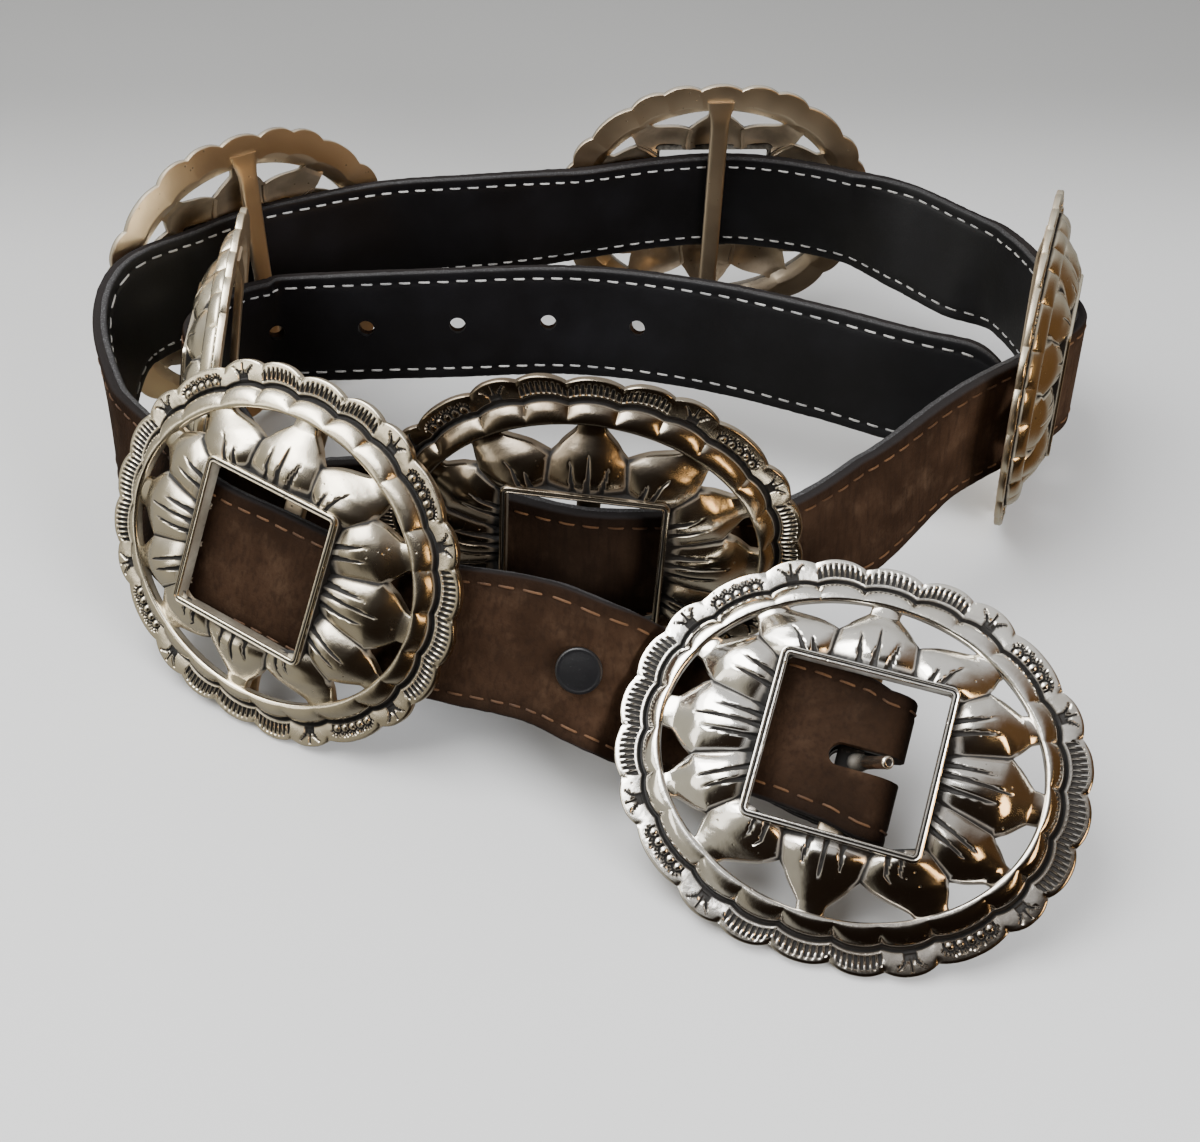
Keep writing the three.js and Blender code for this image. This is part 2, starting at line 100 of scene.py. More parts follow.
# x, y as shares of the loop; yaw, lean, roll; then the strap's way past the casting as shares
# of the strap's width, and the twist at the exit
castings = [
    dict(name="buckle", x=0.2066, y=-0.5072, yaw=-13.5, lean=55.5, roll=-5.7, riseIn=0, riseOut=0.1,
         bulge=0, shoulder=-0.02, inAt=0, inOut=0, outAt=1.4, outOut=-0.325, outTwist=18),
    dict(name="concho_1", x=-0.361, y=-0.2817, yaw=-29.5, lean=26.2, roll=-6.4, riseIn=-0.12,
         riseOut=-0.17, climbIn=0.1, bulge=0.05, shoulder=0.035, inAt=1.36, inOut=-0.23, outAt=1.5,
         outOut=-0.35, outTwist=0),
    dict(name="concho_2", x=-0.481, y=0.284, yaw=223.7, lean=-4, roll=2.7, riseIn=0.13,
         riseOut=0.13, bulge=0.055, shoulder=-0.035, inAt=1.4, inOut=-0.26, outAt=1.36,
         outOut=-0.25, outTwist=0),
    dict(name="concho_3", x=0.135, y=0.498, yaw=182.5, lean=8, roll=0.6, riseIn=0.03,
         riseOut=0.03, bulge=0.06, shoulder=-0.01, inAt=1.36, inOut=-0.19, outAt=1.36,
         outOut=-0.3, outTwist=0),
    dict(name="concho_4", x=0.5, y=0.075, yaw=70.9, lean=1.7, roll=0, riseIn=-0.03,
         riseOut=-0.03, bulge=0.3, shoulder=0.05, inAt=1.44, inOut=-0.47, outAt=1.44,
         outOut=-0.47, outTwist=0),
    dict(name="concho_5", x=-0.0417, y=-0.2709, yaw=-6.7, lean=-1, roll=-3.3, riseIn=-0.2,
         riseOut=-0.2, bulge=0.06, shoulder=-0.04, inAt=1.36, inOut=-0.26, outAt=1.42,
         outOut=-0.25, outTwist=0),
    dict(name="concho_6", x=-0.479, y=0.038, yaw=-85, lean=12.1, roll=0, riseIn=-0.02,
         riseOut=-0.02, bulge=0.27, shoulder=0.035, inAt=1.18, inOut=-0.24, outAt=0.94,
         outOut=-0.33, outTwist=0),
]

# after which casting, x, y, lift of the strap's middle, lean of the strap (top inwards)
spans = [
    ("buckle", -0.03, -0.415, 0.95, 31), ("buckle", -0.085, -0.395, 1.04, 30),
    ("concho_1", -0.582, -0.043, 1.12, 6), ("concho_1", -0.609, 0.048, 1.28, 0),
    ("concho_2", -0.174, 0.418, 1.42, 0), ("concho_3", 0.397, 0.407, 1.31, -14),
    ("concho_3", 0.46, 0.326, 1.31, -14), ("concho_4", 0.259, -0.196, 1.15, 10),
    ("concho_5", -0.384, -0.178, 1.08, 5), ("concho_6", -0.402, 0.176, 1.24, -6),
    ("concho_6", -0.232, 0.18, 1.27, -9), ("concho_6", -0.054, 0.187, 1.27, -9),
    ("concho_6", 0.1, 0.152, 1.27, -9), ("concho_6", 0.241, 0.089, 1.27, -9),
    ("concho_6", 0.339, 0.035, 1.27, -9), ("concho_6", 0.452, -0.012, 1.27, -9),
]

# notches between the scallops of one quarter, from the top round to the side:
# shares of half the outline's and half the ring's sizes
notches = [
    (0.126, 0.972, 0.127, 0.971), (0.349, 0.944, 0.356, 0.936), (0.547, 0.833, 0.58, 0.818),
    (0.784, 0.6, 0.811, 0.598), (0.903, 0.396, 0.928, 0.386), (0.968, 0.134, 0.982, 0.134),
]


def lerp(a, b, t):
    return a + (b - a) * t


def unit(vectors):
    return vectors / np.linalg.norm(vectors, axis=-1, keepdims=True)


def ease(value, low, high):
    # smooth 0 to 1
    t = np.clip((value - low) / (high - low), 0, 1)
    return t * t * (3 - 2 * t)


def notchPoints():
    outline, ring = [], []
    for across, up in ((1, 1), (1, -1), (-1, -1), (-1, 1)):
        for outU, outV, ringU, ringV in (notches if across == up else notches[::-1]):
            outline.append((across * outU * casting["length"] / 2, up * outV * casting["height"] / 2))
            ring.append((across * ringU * casting["ringLength"] / 2, up * ringV * casting["ringHeight"] / 2))
    return np.array(outline), np.array(ring)


def lobeOutward(start, end):
    chord = end - start
    outward = np.stack([-chord[..., 1], chord[..., 0]], -1)
    return unit(np.where((outward * start).sum(-1, keepdims=True) < 0, -outward, outward))


def coarseOutline():
    outline, _ = notchPoints()
    following = np.roll(outline, -1, 0)
    tops = (outline + following) / 2 + lobeOutward(outline, following) * casting["lobeRise"]
    return np.concatenate([outline, tops])


def castingAxes(row):
    yaw, lean, roll = radians(row["yaw"]), radians(row["lean"]), radians(row["roll"])
    w = np.array([sin(yaw) * cos(lean), -cos(yaw) * cos(lean), sin(lean)])
    along = np.array([cos(yaw), sin(yaw), 0])
    up = np.cross(w, along)
    u = along * cos(roll) + up * sin(roll)
    v = up * cos(roll) - along * sin(roll)
    flat = coarseOutline()
    front = u[2] * flat[:, 0] + v[2] * flat[:, 1]
    lowest = min(front.min(), (front - casting["rim"] * w[2]).min())
    origin = np.array([row["x"] * layout["loopWidth"], row["y"] * layout["loopDepth"], -lowest])
    return {"axes": np.array([u, v, w]), "origin": origin}


def place(axes, points):
    return axes["origin"] + np.asarray(points, float) @ axes["axes"]


places = {row["name"]: castingAxes(row) for row in castings}


def layoutShift():
    # the part's own origin is the middle of its box: read from two castings' boxes
    flat = coarseOutline()
    rimPoints = np.concatenate([np.c_[flat, np.full(len(flat), w)] for w in (0.0, -casting["rim"])])
    shift = np.zeros(3)
    for axis, name in ((0, "concho_5"), (1, "concho_4")):
        here = place(places[name], rimPoints)[:, axis]
        low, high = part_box(name)
        shift[axis] = (low[axis] + high[axis]) / 2 / mm - (here.min() + here.max()) / 2
    return shift


shift = layoutShift()
print("layout shift", [round(float(x), 3) for x in shift])


camera = {"at": (-6, -338, 254), "pitch": 38.7, "lens": 45, "sensor": 36}

cameraData = bpy.data.cameras.new("camera")
cameraData.lens = camera["lens"]
cameraData.sensor_width = camera["sensor"]
cameraData.clip_start = 0.01
cameraObject = bpy.data.objects.new("camera", cameraData)
cameraObject.location = (np.array(camera["at"]) + shift) * mm
cameraObject.rotation_euler = (radians(90 - camera["pitch"]), 0, 0)
bpy.context.scene.collection.objects.link(cameraObject)
bpy.context.scene.camera = cameraObject


def gridFaces(rows, columns, closeRows, closeColumns, start=0):
    index = np.arange(rows * columns).reshape(rows, columns) + start
    if closeRows:
        index = np.concatenate([index, index[:1]], 0)
    if closeColumns:
        index = np.concatenate([index, index[:, :1]], 1)
    quads = np.stack([index[:-1, :-1], index[1:, :-1], index[1:, 1:], index[:-1, 1:]], -1)
    return quads.reshape(-1, 4)


def facingOut(points, faces):
    quads = np.array([f for f in faces if len(f) == 4])
    a, b, c, d = (points[quads[:, i]] for i in range(4))
    volume = (a * np.cross(b, c)).sum() + (a * np.cross(c, d)).sum()
    return faces if volume > 0 else [list(f)[::-1] for f in faces]


class Shape:
    # points, faces and per-point marks of one piece while it is put together
    def __init__(self):
        self.points, self.faces, self.marks, self.count = [], [], {}, 0

    def add(self, points, faces, **marks):
        points = np.asarray(points, float).reshape(-1, 3)
        faces = facingOut(points, [list(map(int, f)) for f in faces])
        self.faces += [[i + self.count for i in f] for f in faces]
        self.points.append(points)
        for name in set(self.marks) | set(marks):
            values = self.marks.setdefault(name, [np.zeros(self.count)])
            values.append(np.broadcast_to(marks.get(name, 0.0), len(points)).astype(float).ravel())
        self.count += len(points)

    def mesh(self, name, material, sharp=50):
        points = np.concatenate(self.points) * mm
        mesh = bpy.data.meshes.new(name)
        mesh.from_pydata(points.tolist(), [], self.faces)
        for mark, values in self.marks.items():
            attribute = mesh.attributes.new(mark, "FLOAT", "POINT")
            attribute.data.foreach_set("value", np.concatenate(values).astype(np.float32))
        mesh.polygons.foreach_set("use_smooth", [True] * len(mesh.polygons))
        mesh.set_sharp_from_angle(angle=radians(sharp))
        mesh.materials.append(material)
        return mesh


def addPiece(name, mesh, replaced=()):
    piece = bpy.data.objects.new(name, mesh)
    bpy.context.scene.collection.objects.link(piece)
    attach(piece, "root")
    if replaced:
        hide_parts(*replaced)
    return piece


class Shade:
    # a node socket that takes part in sums
    def __init__(self, maker, socket):
        self.maker, self.socket = maker, socket

    def run(self, operation, *values, clamp=False):
        inputs = dict(enumerate(values))
        return self.maker.node("ShaderNodeMath", {"operation": operation, "use_clamp": clamp}, inputs)

    def __add__(self, other): return self.run("ADD", self, other)
    def __radd__(self, other): return self.run("ADD", other, self)
    def __sub__(self, other): return self.run("SUBTRACT", self, other)
    def __rsub__(self, other): return self.run("SUBTRACT", other, self)
    def __mul__(self, other): return self.run("MULTIPLY", self, other)
    def __rmul__(self, other): return self.run("MULTIPLY", other, self)

    def clamped(self): return self.run("ADD", self, 0.0, clamp=True)

    def between(self, low, high):
        return self.maker.node("ShaderNodeMapRange", {"interpolation_type": "SMOOTHSTEP"},
                               {"Value": self, "From Min": low, "From Max": high})


class Maker:
    def __init__(self, block):
        block.use_nodes = True
        self.block, self.tree = block, block.node_tree
        self.tree.nodes.clear()

    def node(self, kind, settings=None, inputs=None, output=0):
        made = self.tree.nodes.new(kind)
        for name, value in (settings or {}).items():
            if name == "stops":
                for i, (position, colour) in enumerate(value):
                    stops = made.color_ramp.elements
                    stop = stops[i] if i < 2 else stops.new(position)
                    stop.position, stop.color = position, (*colour, 1)
            else:
                setattr(made, name, value)
        for name, value in (inputs or {}).items():
            if isinstance(value, Shade):
                self.tree.links.new(value.socket, made.inputs[name])
            elif isinstance(value, tuple) and len(value) == 3 and made.inputs[name].type == "RGBA":
                made.inputs[name].default_value = (*value, 1)
            else:
                made.inputs[name].default_value = value
        return Shade(self, made.outputs[output]) if made.outputs else made

    def mix(self, factor, first, second, blend="MIX"):
        return self.node("ShaderNodeMix", {"data_type": "RGBA", "blend_type": blend},
                         {0: factor, 6: first, 7: second}, output=2)

    def noise(self, where, scale, detail=3.0, rough=0.55):
        return self.node("ShaderNodeTexNoise", {}, {"Vector": where, "Scale": scale, "Detail": detail,
                                                    "Roughness": rough})

    def mark(self, name):
        return self.node("ShaderNodeAttribute", {"attribute_name": name}, output="Fac")

    def where(self, stretch=None):
        place = self.node("ShaderNodeTexCoord", output="Object")
        if stretch:
            place = self.node("ShaderNodeMapping", {}, {"Vector": place, "Scale": stretch})
        return place

    def bump(self, height, distance, strength=1.0, under=None):
        inputs = {"Height": height, "Distance": distance, "Strength": strength}
        if under:
            inputs["Normal"] = under
        return self.node("ShaderNodeBump", {}, inputs)

    def surface(self, **sockets):
        named = {"baseColour": "Base Color", "roughness": "Roughness", "metallic": "Metallic",
                 "normal": "Normal", "specular": "Specular IOR Level"}
        shader = self.node("ShaderNodeBsdfPrincipled", {}, {named[k]: v for k, v in sockets.items()})
        self.node("ShaderNodeOutputMaterial", {}, {"Surface": shader})
        return self.block


def silverFinish(name):
    m = Maker(bpy.data.materials.new(name))
    where = m.where()
    oxide, back, tarnish = m.mark("oxide"), m.mark("back"), m.mark("tarnish")
    cloud = m.noise(where, 90.0, 4.0)
    fine = m.noise(where, 900.0, 3.0)
    pits = m.node("ShaderNodeTexVoronoi", {}, {"Vector": where, "Scale": 420.0, "Randomness": 1.0})
    pit = 1 - pits.between(0.05, 0.16)
    pit = pit * cloud.between(0.5, 0.62)
    # dark and stain: oxide in the engraved hollows together with painted shade at the petals' bases, seams and
    # undersides
    dark = (oxide.between(0.12, 0.7) * (0.85 + 0.4 * fine)).clamped()
    brownStainAndShade = (oxide.between(0.01, 0.35) * 0.6 * cloud.between(0.3, 0.6)).clamped()
    bright = m.mix(cloud.between(0.3, 0.75), (0.93, 0.905, 0.85), (0.8, 0.765, 0.69))
    satin = m.mark("satin")
    # painted cream reflection on some castings; the same mark makes them rougher below
    bright = m.mix(satin, bright, (0.84, 0.765, 0.6))
    bright = m.mix(back, bright, (0.83, 0.69, 0.51))
    # painted dark reflection: bronze-black over whole castings and more on one side
    bright = m.mix((tarnish * (0.7 + 0.6 * cloud)).clamped(), bright, (0.12, 0.085, 0.055))
    colour = m.mix(brownStainAndShade, bright, (0.2, 0.15, 0.1))
    colour = m.mix(pit * 0.7, colour, (0.12, 0.1, 0.08))
    colour = m.mix(dark, colour, (0.006, 0.005, 0.0045))
    rough = 0.12 + 0.1 * cloud.between(0.3, 0.8) + 0.55 * dark + 0.2 * back + 0.25 * pit + 0.1 * satin
    normal = m.bump(m.noise(where, 260.0, 2.0), 0.0004, 0.16)
    normal = m.bump(fine, 0.0001, 0.22, normal)
    normal = m.bump(1 - pit, 0.0002, 0.5, normal)
    return m.surface(baseColour=colour, roughness=rough, metallic=1 - dark, normal=normal)


def leatherFinish():
    m = Maker(bpy.data.materials.new("oiledBrownLeather"))
    where = m.where()
    edge, raw, worn = m.mark("edge"), m.mark("raw"), m.mark("worn")
    cloud = m.noise(where, 38.0, 5.0, 0.62)
    blotch = m.noise(where, 120.0, 4.0, 0.6)
    grain = m.noise(where, 1500.0, 3.0, 0.65)
    brushed = m.noise(m.where((1.0, 1.0, 0.12)), 900.0, 2.0)
    crease = m.node("ShaderNodeTexVoronoi", {"feature": "DISTANCE_TO_EDGE"},
                    {"Vector": where, "Scale": 700.0, "Randomness": 1.0})
    tone = m.mix(cloud.between(0.3, 0.72), (0.016, 0.0084, 0.0048), (0.038, 0.0205, 0.0118))
    tone = m.mix(blotch.between(0.48, 0.78) * 0.55, tone, (0.066, 0.039, 0.023))
    tone = m.mix(brushed.between(0.42, 0.72) * 0.5, tone, (0.013, 0.0075, 0.005))
    tone = m.mix(edge * (0.5 + 0.45 * blotch), tone, (0.009, 0.0052, 0.0036))
    # painted shade behind the windows and on the walls of the cut holes and slot
    tone = m.mix(worn, tone, (0.006, 0.004, 0.003))
    tone = m.mix(raw * (0.8 + 0.2 * grain), tone, (0.022, 0.02, 0.02))
    rough = 0.58 + 0.2 * grain + 0.15 * raw - 0.12 * cloud.between(0.5, 0.8)
    normal = m.bump(grain, 0.00012, 0.55)
    normal = m.bump(crease.between(0.0, 0.25), 0.00008, 0.4, normal)
    normal = m.bump(blotch, 0.0006, 0.25, normal)
    return m.surface(baseColour=tone, roughness=rough, normal=normal, specular=0.03)


def liningFinish():
    m = Maker(bpy.data.materials.new("blackLiningLeather"))
    where = m.where()
    raw = m.mark("raw")
    cloud = m.noise(where, 45.0, 4.0)
    grain = m.noise(where, 1400.0, 3.0, 0.6)
    fuzz = m.noise(where, 2600.0, 2.0, 0.7)
    tone = m.mix(cloud.between(0.3, 0.8), (0.002, 0.002, 0.0026), (0.0055, 0.0055, 0.007))
    tone = m.mix(raw, tone, (0.028, 0.027, 0.028))
    tone = m.mix(raw * fuzz.between(0.52, 0.68) * 0.8, tone, (0.11, 0.11, 0.115))
    rough = 0.44 + 0.16 * grain + 0.3 * raw
    normal = m.bump(grain, 0.00008, 0.4)
    normal = m.bump(cloud, 0.001, 0.2, normal)
    return m.surface(baseColour=tone, roughness=rough, normal=normal, specular=0.28)


def threadFinish(name, light, dark):
    m = Maker(bpy.data.materials.new(name))
    where = m.where()
    fibre = m.noise(where, 2200.0, 2.0)
    patch = m.noise(where, 60.0, 3.0)
    tone = m.mix(patch.between(0.35, 0.7), light, dark)
    tone = m.mix(fibre.between(0.5, 0.8) * 0.5, tone, dark)
    return m.surface(baseColour=tone, roughness=0.6 + 0.3 * fibre, normal=m.bump(fibre, 0.0002, 0.6),
                     specular=0.3)


def snapFinish():
    m = Maker(bpy.data.materials.new("blackSnapEnamel"))
    where = m.where()
    dust = m.noise(where, 1600.0, 3.0)
    smear = m.noise(where, 150.0, 3.0)
    tone = m.mix(dust.between(0.62, 0.75) * 0.5, (0.006, 0.006, 0.007), (0.05, 0.05, 0.05))
    rough = 0.3 + 0.18 * smear
    return m.surface(baseColour=tone, roughness=rough, normal=m.bump(dust, 0.00008, 0.35))


silver = silverFinish("antiquedSilver")
brownLeather = leatherFinish()
blackLeather = liningFinish()
tanThread = threadFinish("tanThread", (0.105, 0.052, 0.024), (0.045, 0.022, 0.011))
paleThread = threadFinish("paleThread", (0.5, 0.49, 0.47), (0.28, 0.28, 0.28))
blackSnap = snapFinish()


relief = {
    "fanSteps": 28, "beadSteps": 62, "ticks": 9, "slotPoints": [0, 0.2, 0.29, 0.5, 0.71, 0.8],
    "slotShare": 0.25, "slotWedge": 0.08, "tickDepth": 0.6, "fanLength": 2.9, "fanWidth": 0.58,
    "beadPitch": 2.45, "beadRadius": 0.95, "beadHeight": 0.5, "beadRing": 1.2, "rayTurn": 0.42,
    "bandRows": 14, "pillow": 0.12, "notchDip": 0.25, "groove": 1.3, "grooveDepth": 0.75, "crownRows": 7,
}

lobeKinds = ["tick", "fan", "bead", "fan", "tick", "tick", "tick", "fan", "bead", "fan", "tick", "tick"] * 2


def engraving(kind, share, along, inward, band):
    # depth cut into the rim, and the height of what stands up on it
    depth, height = np.zeros_like(inward), np.zeros_like(inward)
    if kind == "tick":
        phase = np.abs((share * relief["ticks"]) % 1 - 0.5)
        ends = np.minimum(share, 1 - share)
        outer = 1.35 + 0.5 * ease(ends, 0.12, 0.0)
        wedge = relief["slotShare"] + relief["slotWedge"] * ease(inward, 1.6, band - 1.6)
        slot = np.clip((wedge - phase) / 0.12 + 0.5, 0, 1)
        depth = slot * ease(inward, outer - 0.25, outer + 0.15) * ease(band - inward, 1.6, 2.0)
    elif kind == "fan":
        inner = band - 1.3
        climb = np.clip((inner - inward) / relief["fanLength"], 0, 1.3)
        for side in (-1, 0, 1):
            middle = side * (0.75 + 1.5 * climb ** 2)
            wide = relief["fanWidth"] * (1 - 0.4 * climb)
            line = np.clip((wide - np.abs(along - middle)) / 0.16, 0, 1)
            reach = ease(inward, 0.7 + 0.3 * abs(side), 1.0 + 0.3 * abs(side)) * ease(inner - inward, -0.2, 0.2)
            depth = np.maximum(depth, line * reach)
    else:
        for bead in range(-2, 3):
            x, y = along - bead * relief["beadPitch"], (band - 2.0) - inward
            r = np.hypot(x, y) + 1e-6
            dome = np.sqrt(np.clip(1 - (r / relief["beadRadius"]) ** 2, 0, 1))
            height = np.maximum(height, relief["beadHeight"] * dome)
            rimCut = np.clip((0.36 - np.abs(r - relief["beadRing"])) / 0.14, 0, 1) * ease(y, -0.9, -0.2)
            turn = np.arctan2(x, y)
            ray = np.clip((0.3 - np.abs((turn / relief["rayTurn"]) % 1 - 0.5)) / 0.16, 0, 1)
            ray = ray * ease(r, 1.2, 1.4) * ease(2.3 - r, 0.0, 0.25) * ease(1.35 - np.abs(turn), 0, 0.2)
            depth = np.maximum(depth, np.maximum(rimCut, ray * 0.9) * (height <= 0))
    return depth, height


def addRim(shape):
    outlineNotch, ringNotch = notchPoints()
    outline, ring, share, chord, kinds = [], [], [], [], []
    for i, kind in enumerate(lobeKinds):
        if kind == "tick":      # close pairs of points at each slot's sides keep them crisp
            t = (np.arange(relief["ticks"])[:, None] + np.array(relief["slotPoints"])).ravel() / relief["ticks"]
        else:
            t = np.arange(relief[kind + "Steps"]) / relief[kind + "Steps"]
        swell = (1 - np.abs(2 * t - 1) ** 2.3)[:, None]
        for notch, gathered, rise in ((outlineNotch, outline, "lobeRise"), (ringNotch, ring, "ringRise")):
            start, end = notch[i], notch[(i + 1) % 24]
            out = lobeOutward(start[None], end[None])
            gathered.append(lerp(start, end, t[:, None]) + out * casting[rise] * swell)
        share.append(t)
        chord.append(np.full(len(t), np.linalg.norm(outlineNotch[(i + 1) % 24] - outlineNotch[i])))
        kinds += [i] * len(t)
    outline, ring = np.concatenate(outline), np.concatenate(ring)
    share, chord, kinds = np.concatenate(share), np.concatenate(chord), np.array(kinds)
    angle = np.arctan2(ring[:, 1] / casting["openHeight"], ring[:, 0] / casting["openLength"])
    lip = np.c_[np.cos(angle) * casting["openLength"] / 2, np.sin(angle) * casting["openHeight"] / 2]
    band = np.linalg.norm(ring - outline, axis=1)
    inwards = unit(ring - outline)
    across = np.linalg.norm(lip - ring, axis=1)
    towardsLip = unit(lip - ring)
    cusp = np.minimum(share, 1 - share) * chord          # distance to the nearest notch
    rows = []

    def onBand(inset, w, oxide=0.0, back=0.0):
        rows.append((outline + inwards * np.asarray(inset).reshape(-1, 1), w, oxide, back))

    def onRing(inset, w, oxide=0.0, back=0.0):
        rows.append((ring + towardsLip * np.asarray(inset).reshape(-1, 1), w, oxide, back))

    onBand(0.3, -casting["rim"], 0.0, 1.0)
    onBand(0.06, -casting["rim"] + 0.2, 0.0, 0.8)
    onBand(0.0, -0.42)
    onBand(0.1, -0.14)
    edge = 0.32
    for k in range(relief["bandRows"]):
        inset = lerp(edge, band - relief["groove"], k / (relief["bandRows"] - 1))
        depth = np.zeros_like(inset)
        height = np.zeros_like(inset)
        for i, kind in enumerate(lobeKinds):
            here = kinds == i
            depth[here], height[here] = engraving(kind, share[here], (share[here] - 0.5) * chord[here],
                                                  inset[here], band[here])
        pillow = relief["pillow"] * np.sin(pi * np.clip(inset / (band - relief["groove"]), 0, 1))
        notchDip = relief["notchDip"] * np.exp(-cusp / 0.5) * ease(1.6 - inset, 0, 1.4)
        onBand(inset, pillow - depth * relief["tickDepth"] + height - notchDip,
               np.clip(depth * 1.15, 0, 1) + 0.25 * ease(inset, band - 1.9, band - 1.1))
    onBand(band - 0.85, -0.45, 0.9)
    onBand(band - 0.5, -relief["grooveDepth"], 1.0)
    onBand(band - 0.12, -relief["grooveDepth"] + 0.1, 1.0)
    crease = np.exp(-cusp / 0.55)
    onRing(0.0, 0.15, 0.75)
    onRing(0.16, 1.05 - 0.5 * crease, 0.15)
    onRing(0.42, 1.42 - 0.55 * crease, 0.0)
    for k in range(relief["crownRows"]):
        t = (k + 1) / relief["crownRows"]
        inset = lerp(0.7, across - 0.5, t ** 1.1)
        puff = 0.42 * np.sin(pi * np.clip(share, 0, 1)) ** 0.7 * (1 - t) ** 1.3
        climb = np.sin(pi / 2 * min(t * 1.1, 1.0)) ** 1.1
        rise = casting["ringEdge"] + (casting["crest"] + 0.15 - casting["ringEdge"]) * climb
        onRing(inset, rise + puff - 0.45 * crease * (1 - t) ** 2.2, 0.10 * (1 - t))
    onRing(across - 0.22, casting["crest"] - 0.05)
    onRing(across - 0.04, casting["crest"] - 0.3, 0.1)
    onRing(across, casting["crest"] - 0.7, 0.3)
    onRing(across, casting["crest"] - casting["lip"] + 0.1, 0.45)
    onRing(across - 0.15, casting["crest"] - casting["lip"] - 0.05, 0.1, 0.6)
    inside = lerp(casting["crest"] - casting["lip"], -casting["rim"], 0.42)
    onRing(lerp(across, 1.2, 0.5), inside, 0.0, 1.0)
    onRing(1.35, -casting["rim"] + 0.12, 0.0, 1.0)
    onRing(1.0, -casting["rim"], 0.0, 1.0)
    count = len(ring)
    points = np.concatenate([np.c_[flat, np.broadcast_to(w, count)] for flat, w, _, _ in rows])
    oxide = np.concatenate([np.broadcast_to(o, count) for _, _, o, _ in rows])
    back = np.concatenate([np.broadcast_to(b, count) for _, _, _, b in rows])
    shape.add(points, gridFaces(len(rows), count, True, True), oxide=oxide, back=back)


# Petals clockwise from the top one. Between two petals: where their seam leaves the window's
# frame, where it opens into a gap, and the gap's two corners on the ring.
seams = [
    dict(base=(8.8, 18.6), fork=(8.1, 25.5), corners=((2.8, 31.9), (20.7, 28.2))),
    dict(base=(18.9, 16.2), fork=(24.2, 20.0), corners=((26.4, 24.5), (32.8, 17.6))),
    dict(base=(18.9, 5.2), fork=(31.4, 8.2), corners=((35.8, 12.8), (38.4, 2.9))),
    dict(base=(18.9, -5.0), fork=(31.3, -8.5), corners=((38.4, -3.4), (36.0, -13.4))),
    dict(base=(18.9, -14.8), fork=(24.8, -19.2), corners=((33.2, -17.6), (26.5, -24.7))),
    dict(base=(9.0, -18.6), fork=(7.9, -24.1), corners=((20.6, -28.0), (2.6, -31.9))),
]
petalRanks = [3, 2, 1, 0, 1, 2, 3]
petalVeins = [
    [(-0.3, -0.14, 0.5), (0.02, 0.02, 0.64), (0.34, 0.2, 0.46)],
    [(-0.36, 0.1, 0.4), (-0.02, 0.12, 0.62)],
    [(-0.2, 0.06, 0.44), (0.22, 0.08, 0.4)],
    [(-0.5, 0.1, 0.42), (-0.12, 0.06, 0.62), (0.36, -0.1, 0.46)],
    [(-0.3, 0.14, 0.5), (0.16, 0.04, 0.46)],
    [(-0.1, 0.2, 0.5), (0.3, 0.1, 0.56)],
    [(-0.34, -0.12, 0.48), (0.0, 0.0, 0.66), (0.34, 0.12, 0.48)],
]


petal = {
    "rows": 23, "columns": 44, "under": 6, "forkAt": 0.46, "swell": 0.065, "lapOver": 0.7, "lapUnder": 0.5,
    "fallAt": [0, 0.2, 0.45, 0.7, 0.9, 1], "fall": [5.4, 5.5, 4.4, 3.1, 2.4, 2.2],
    "crownAt": [0, 0.3, 0.6, 0.85, 1], "crown": [2.0, 2.8, 2.3, 1.2, 0.5], "crownPower": 2.1,
    "rankRise": 0.24, "edgeDrop": 0.3, "veinWidth": 0.5, "veinDepth": 0.6, "underside": 0.24,
}


def frameWall(points):
    # radial projection to the middle of the window frame's wall
    half = np.array([casting["windowLength"] + casting["frameWall"], casting["windowHeight"] + casting["frameWall"]]) / 2
    scale = (half / np.maximum(np.abs(points), 1e-6)).min(-1, keepdims=True)
    return points * scale


def smoothed(q, at, values):
    # values at a few places, run smoothly between them
    fine = np.linspace(-0.2, 1.2, 141)
    bell = np.exp(-(np.linspace(-2.2, 2.2, 15) ** 2))
    return np.interp(q, fine[7:-7], np.convolve(np.interp(fine, at, values), bell / bell.sum(), "valid"))


def petalSide(base, fork, corner, q, qFork):
    # one edge of a petal, from the frame to the ring
    base, fork, corner = (np.array(p, float) for p in (base, fork, corner))
    first = np.clip(q / qFork, 0, 1)[:, None]
    second = np.clip((q - qFork) / (1 - qFork), 0, 1)[:, None]
    line = np.where(first < 1, lerp(base, fork, first), lerp(fork, corner, second))
    side = corner - fork
    normal = np.array([-side[1], side[0]]) / np.linalg.norm(side)
    middle = (base + fork) / 2
    if np.dot(normal, fork - corner * 0.5 - middle * 0.5) < 0:
        normal = -normal
    return line, normal, second


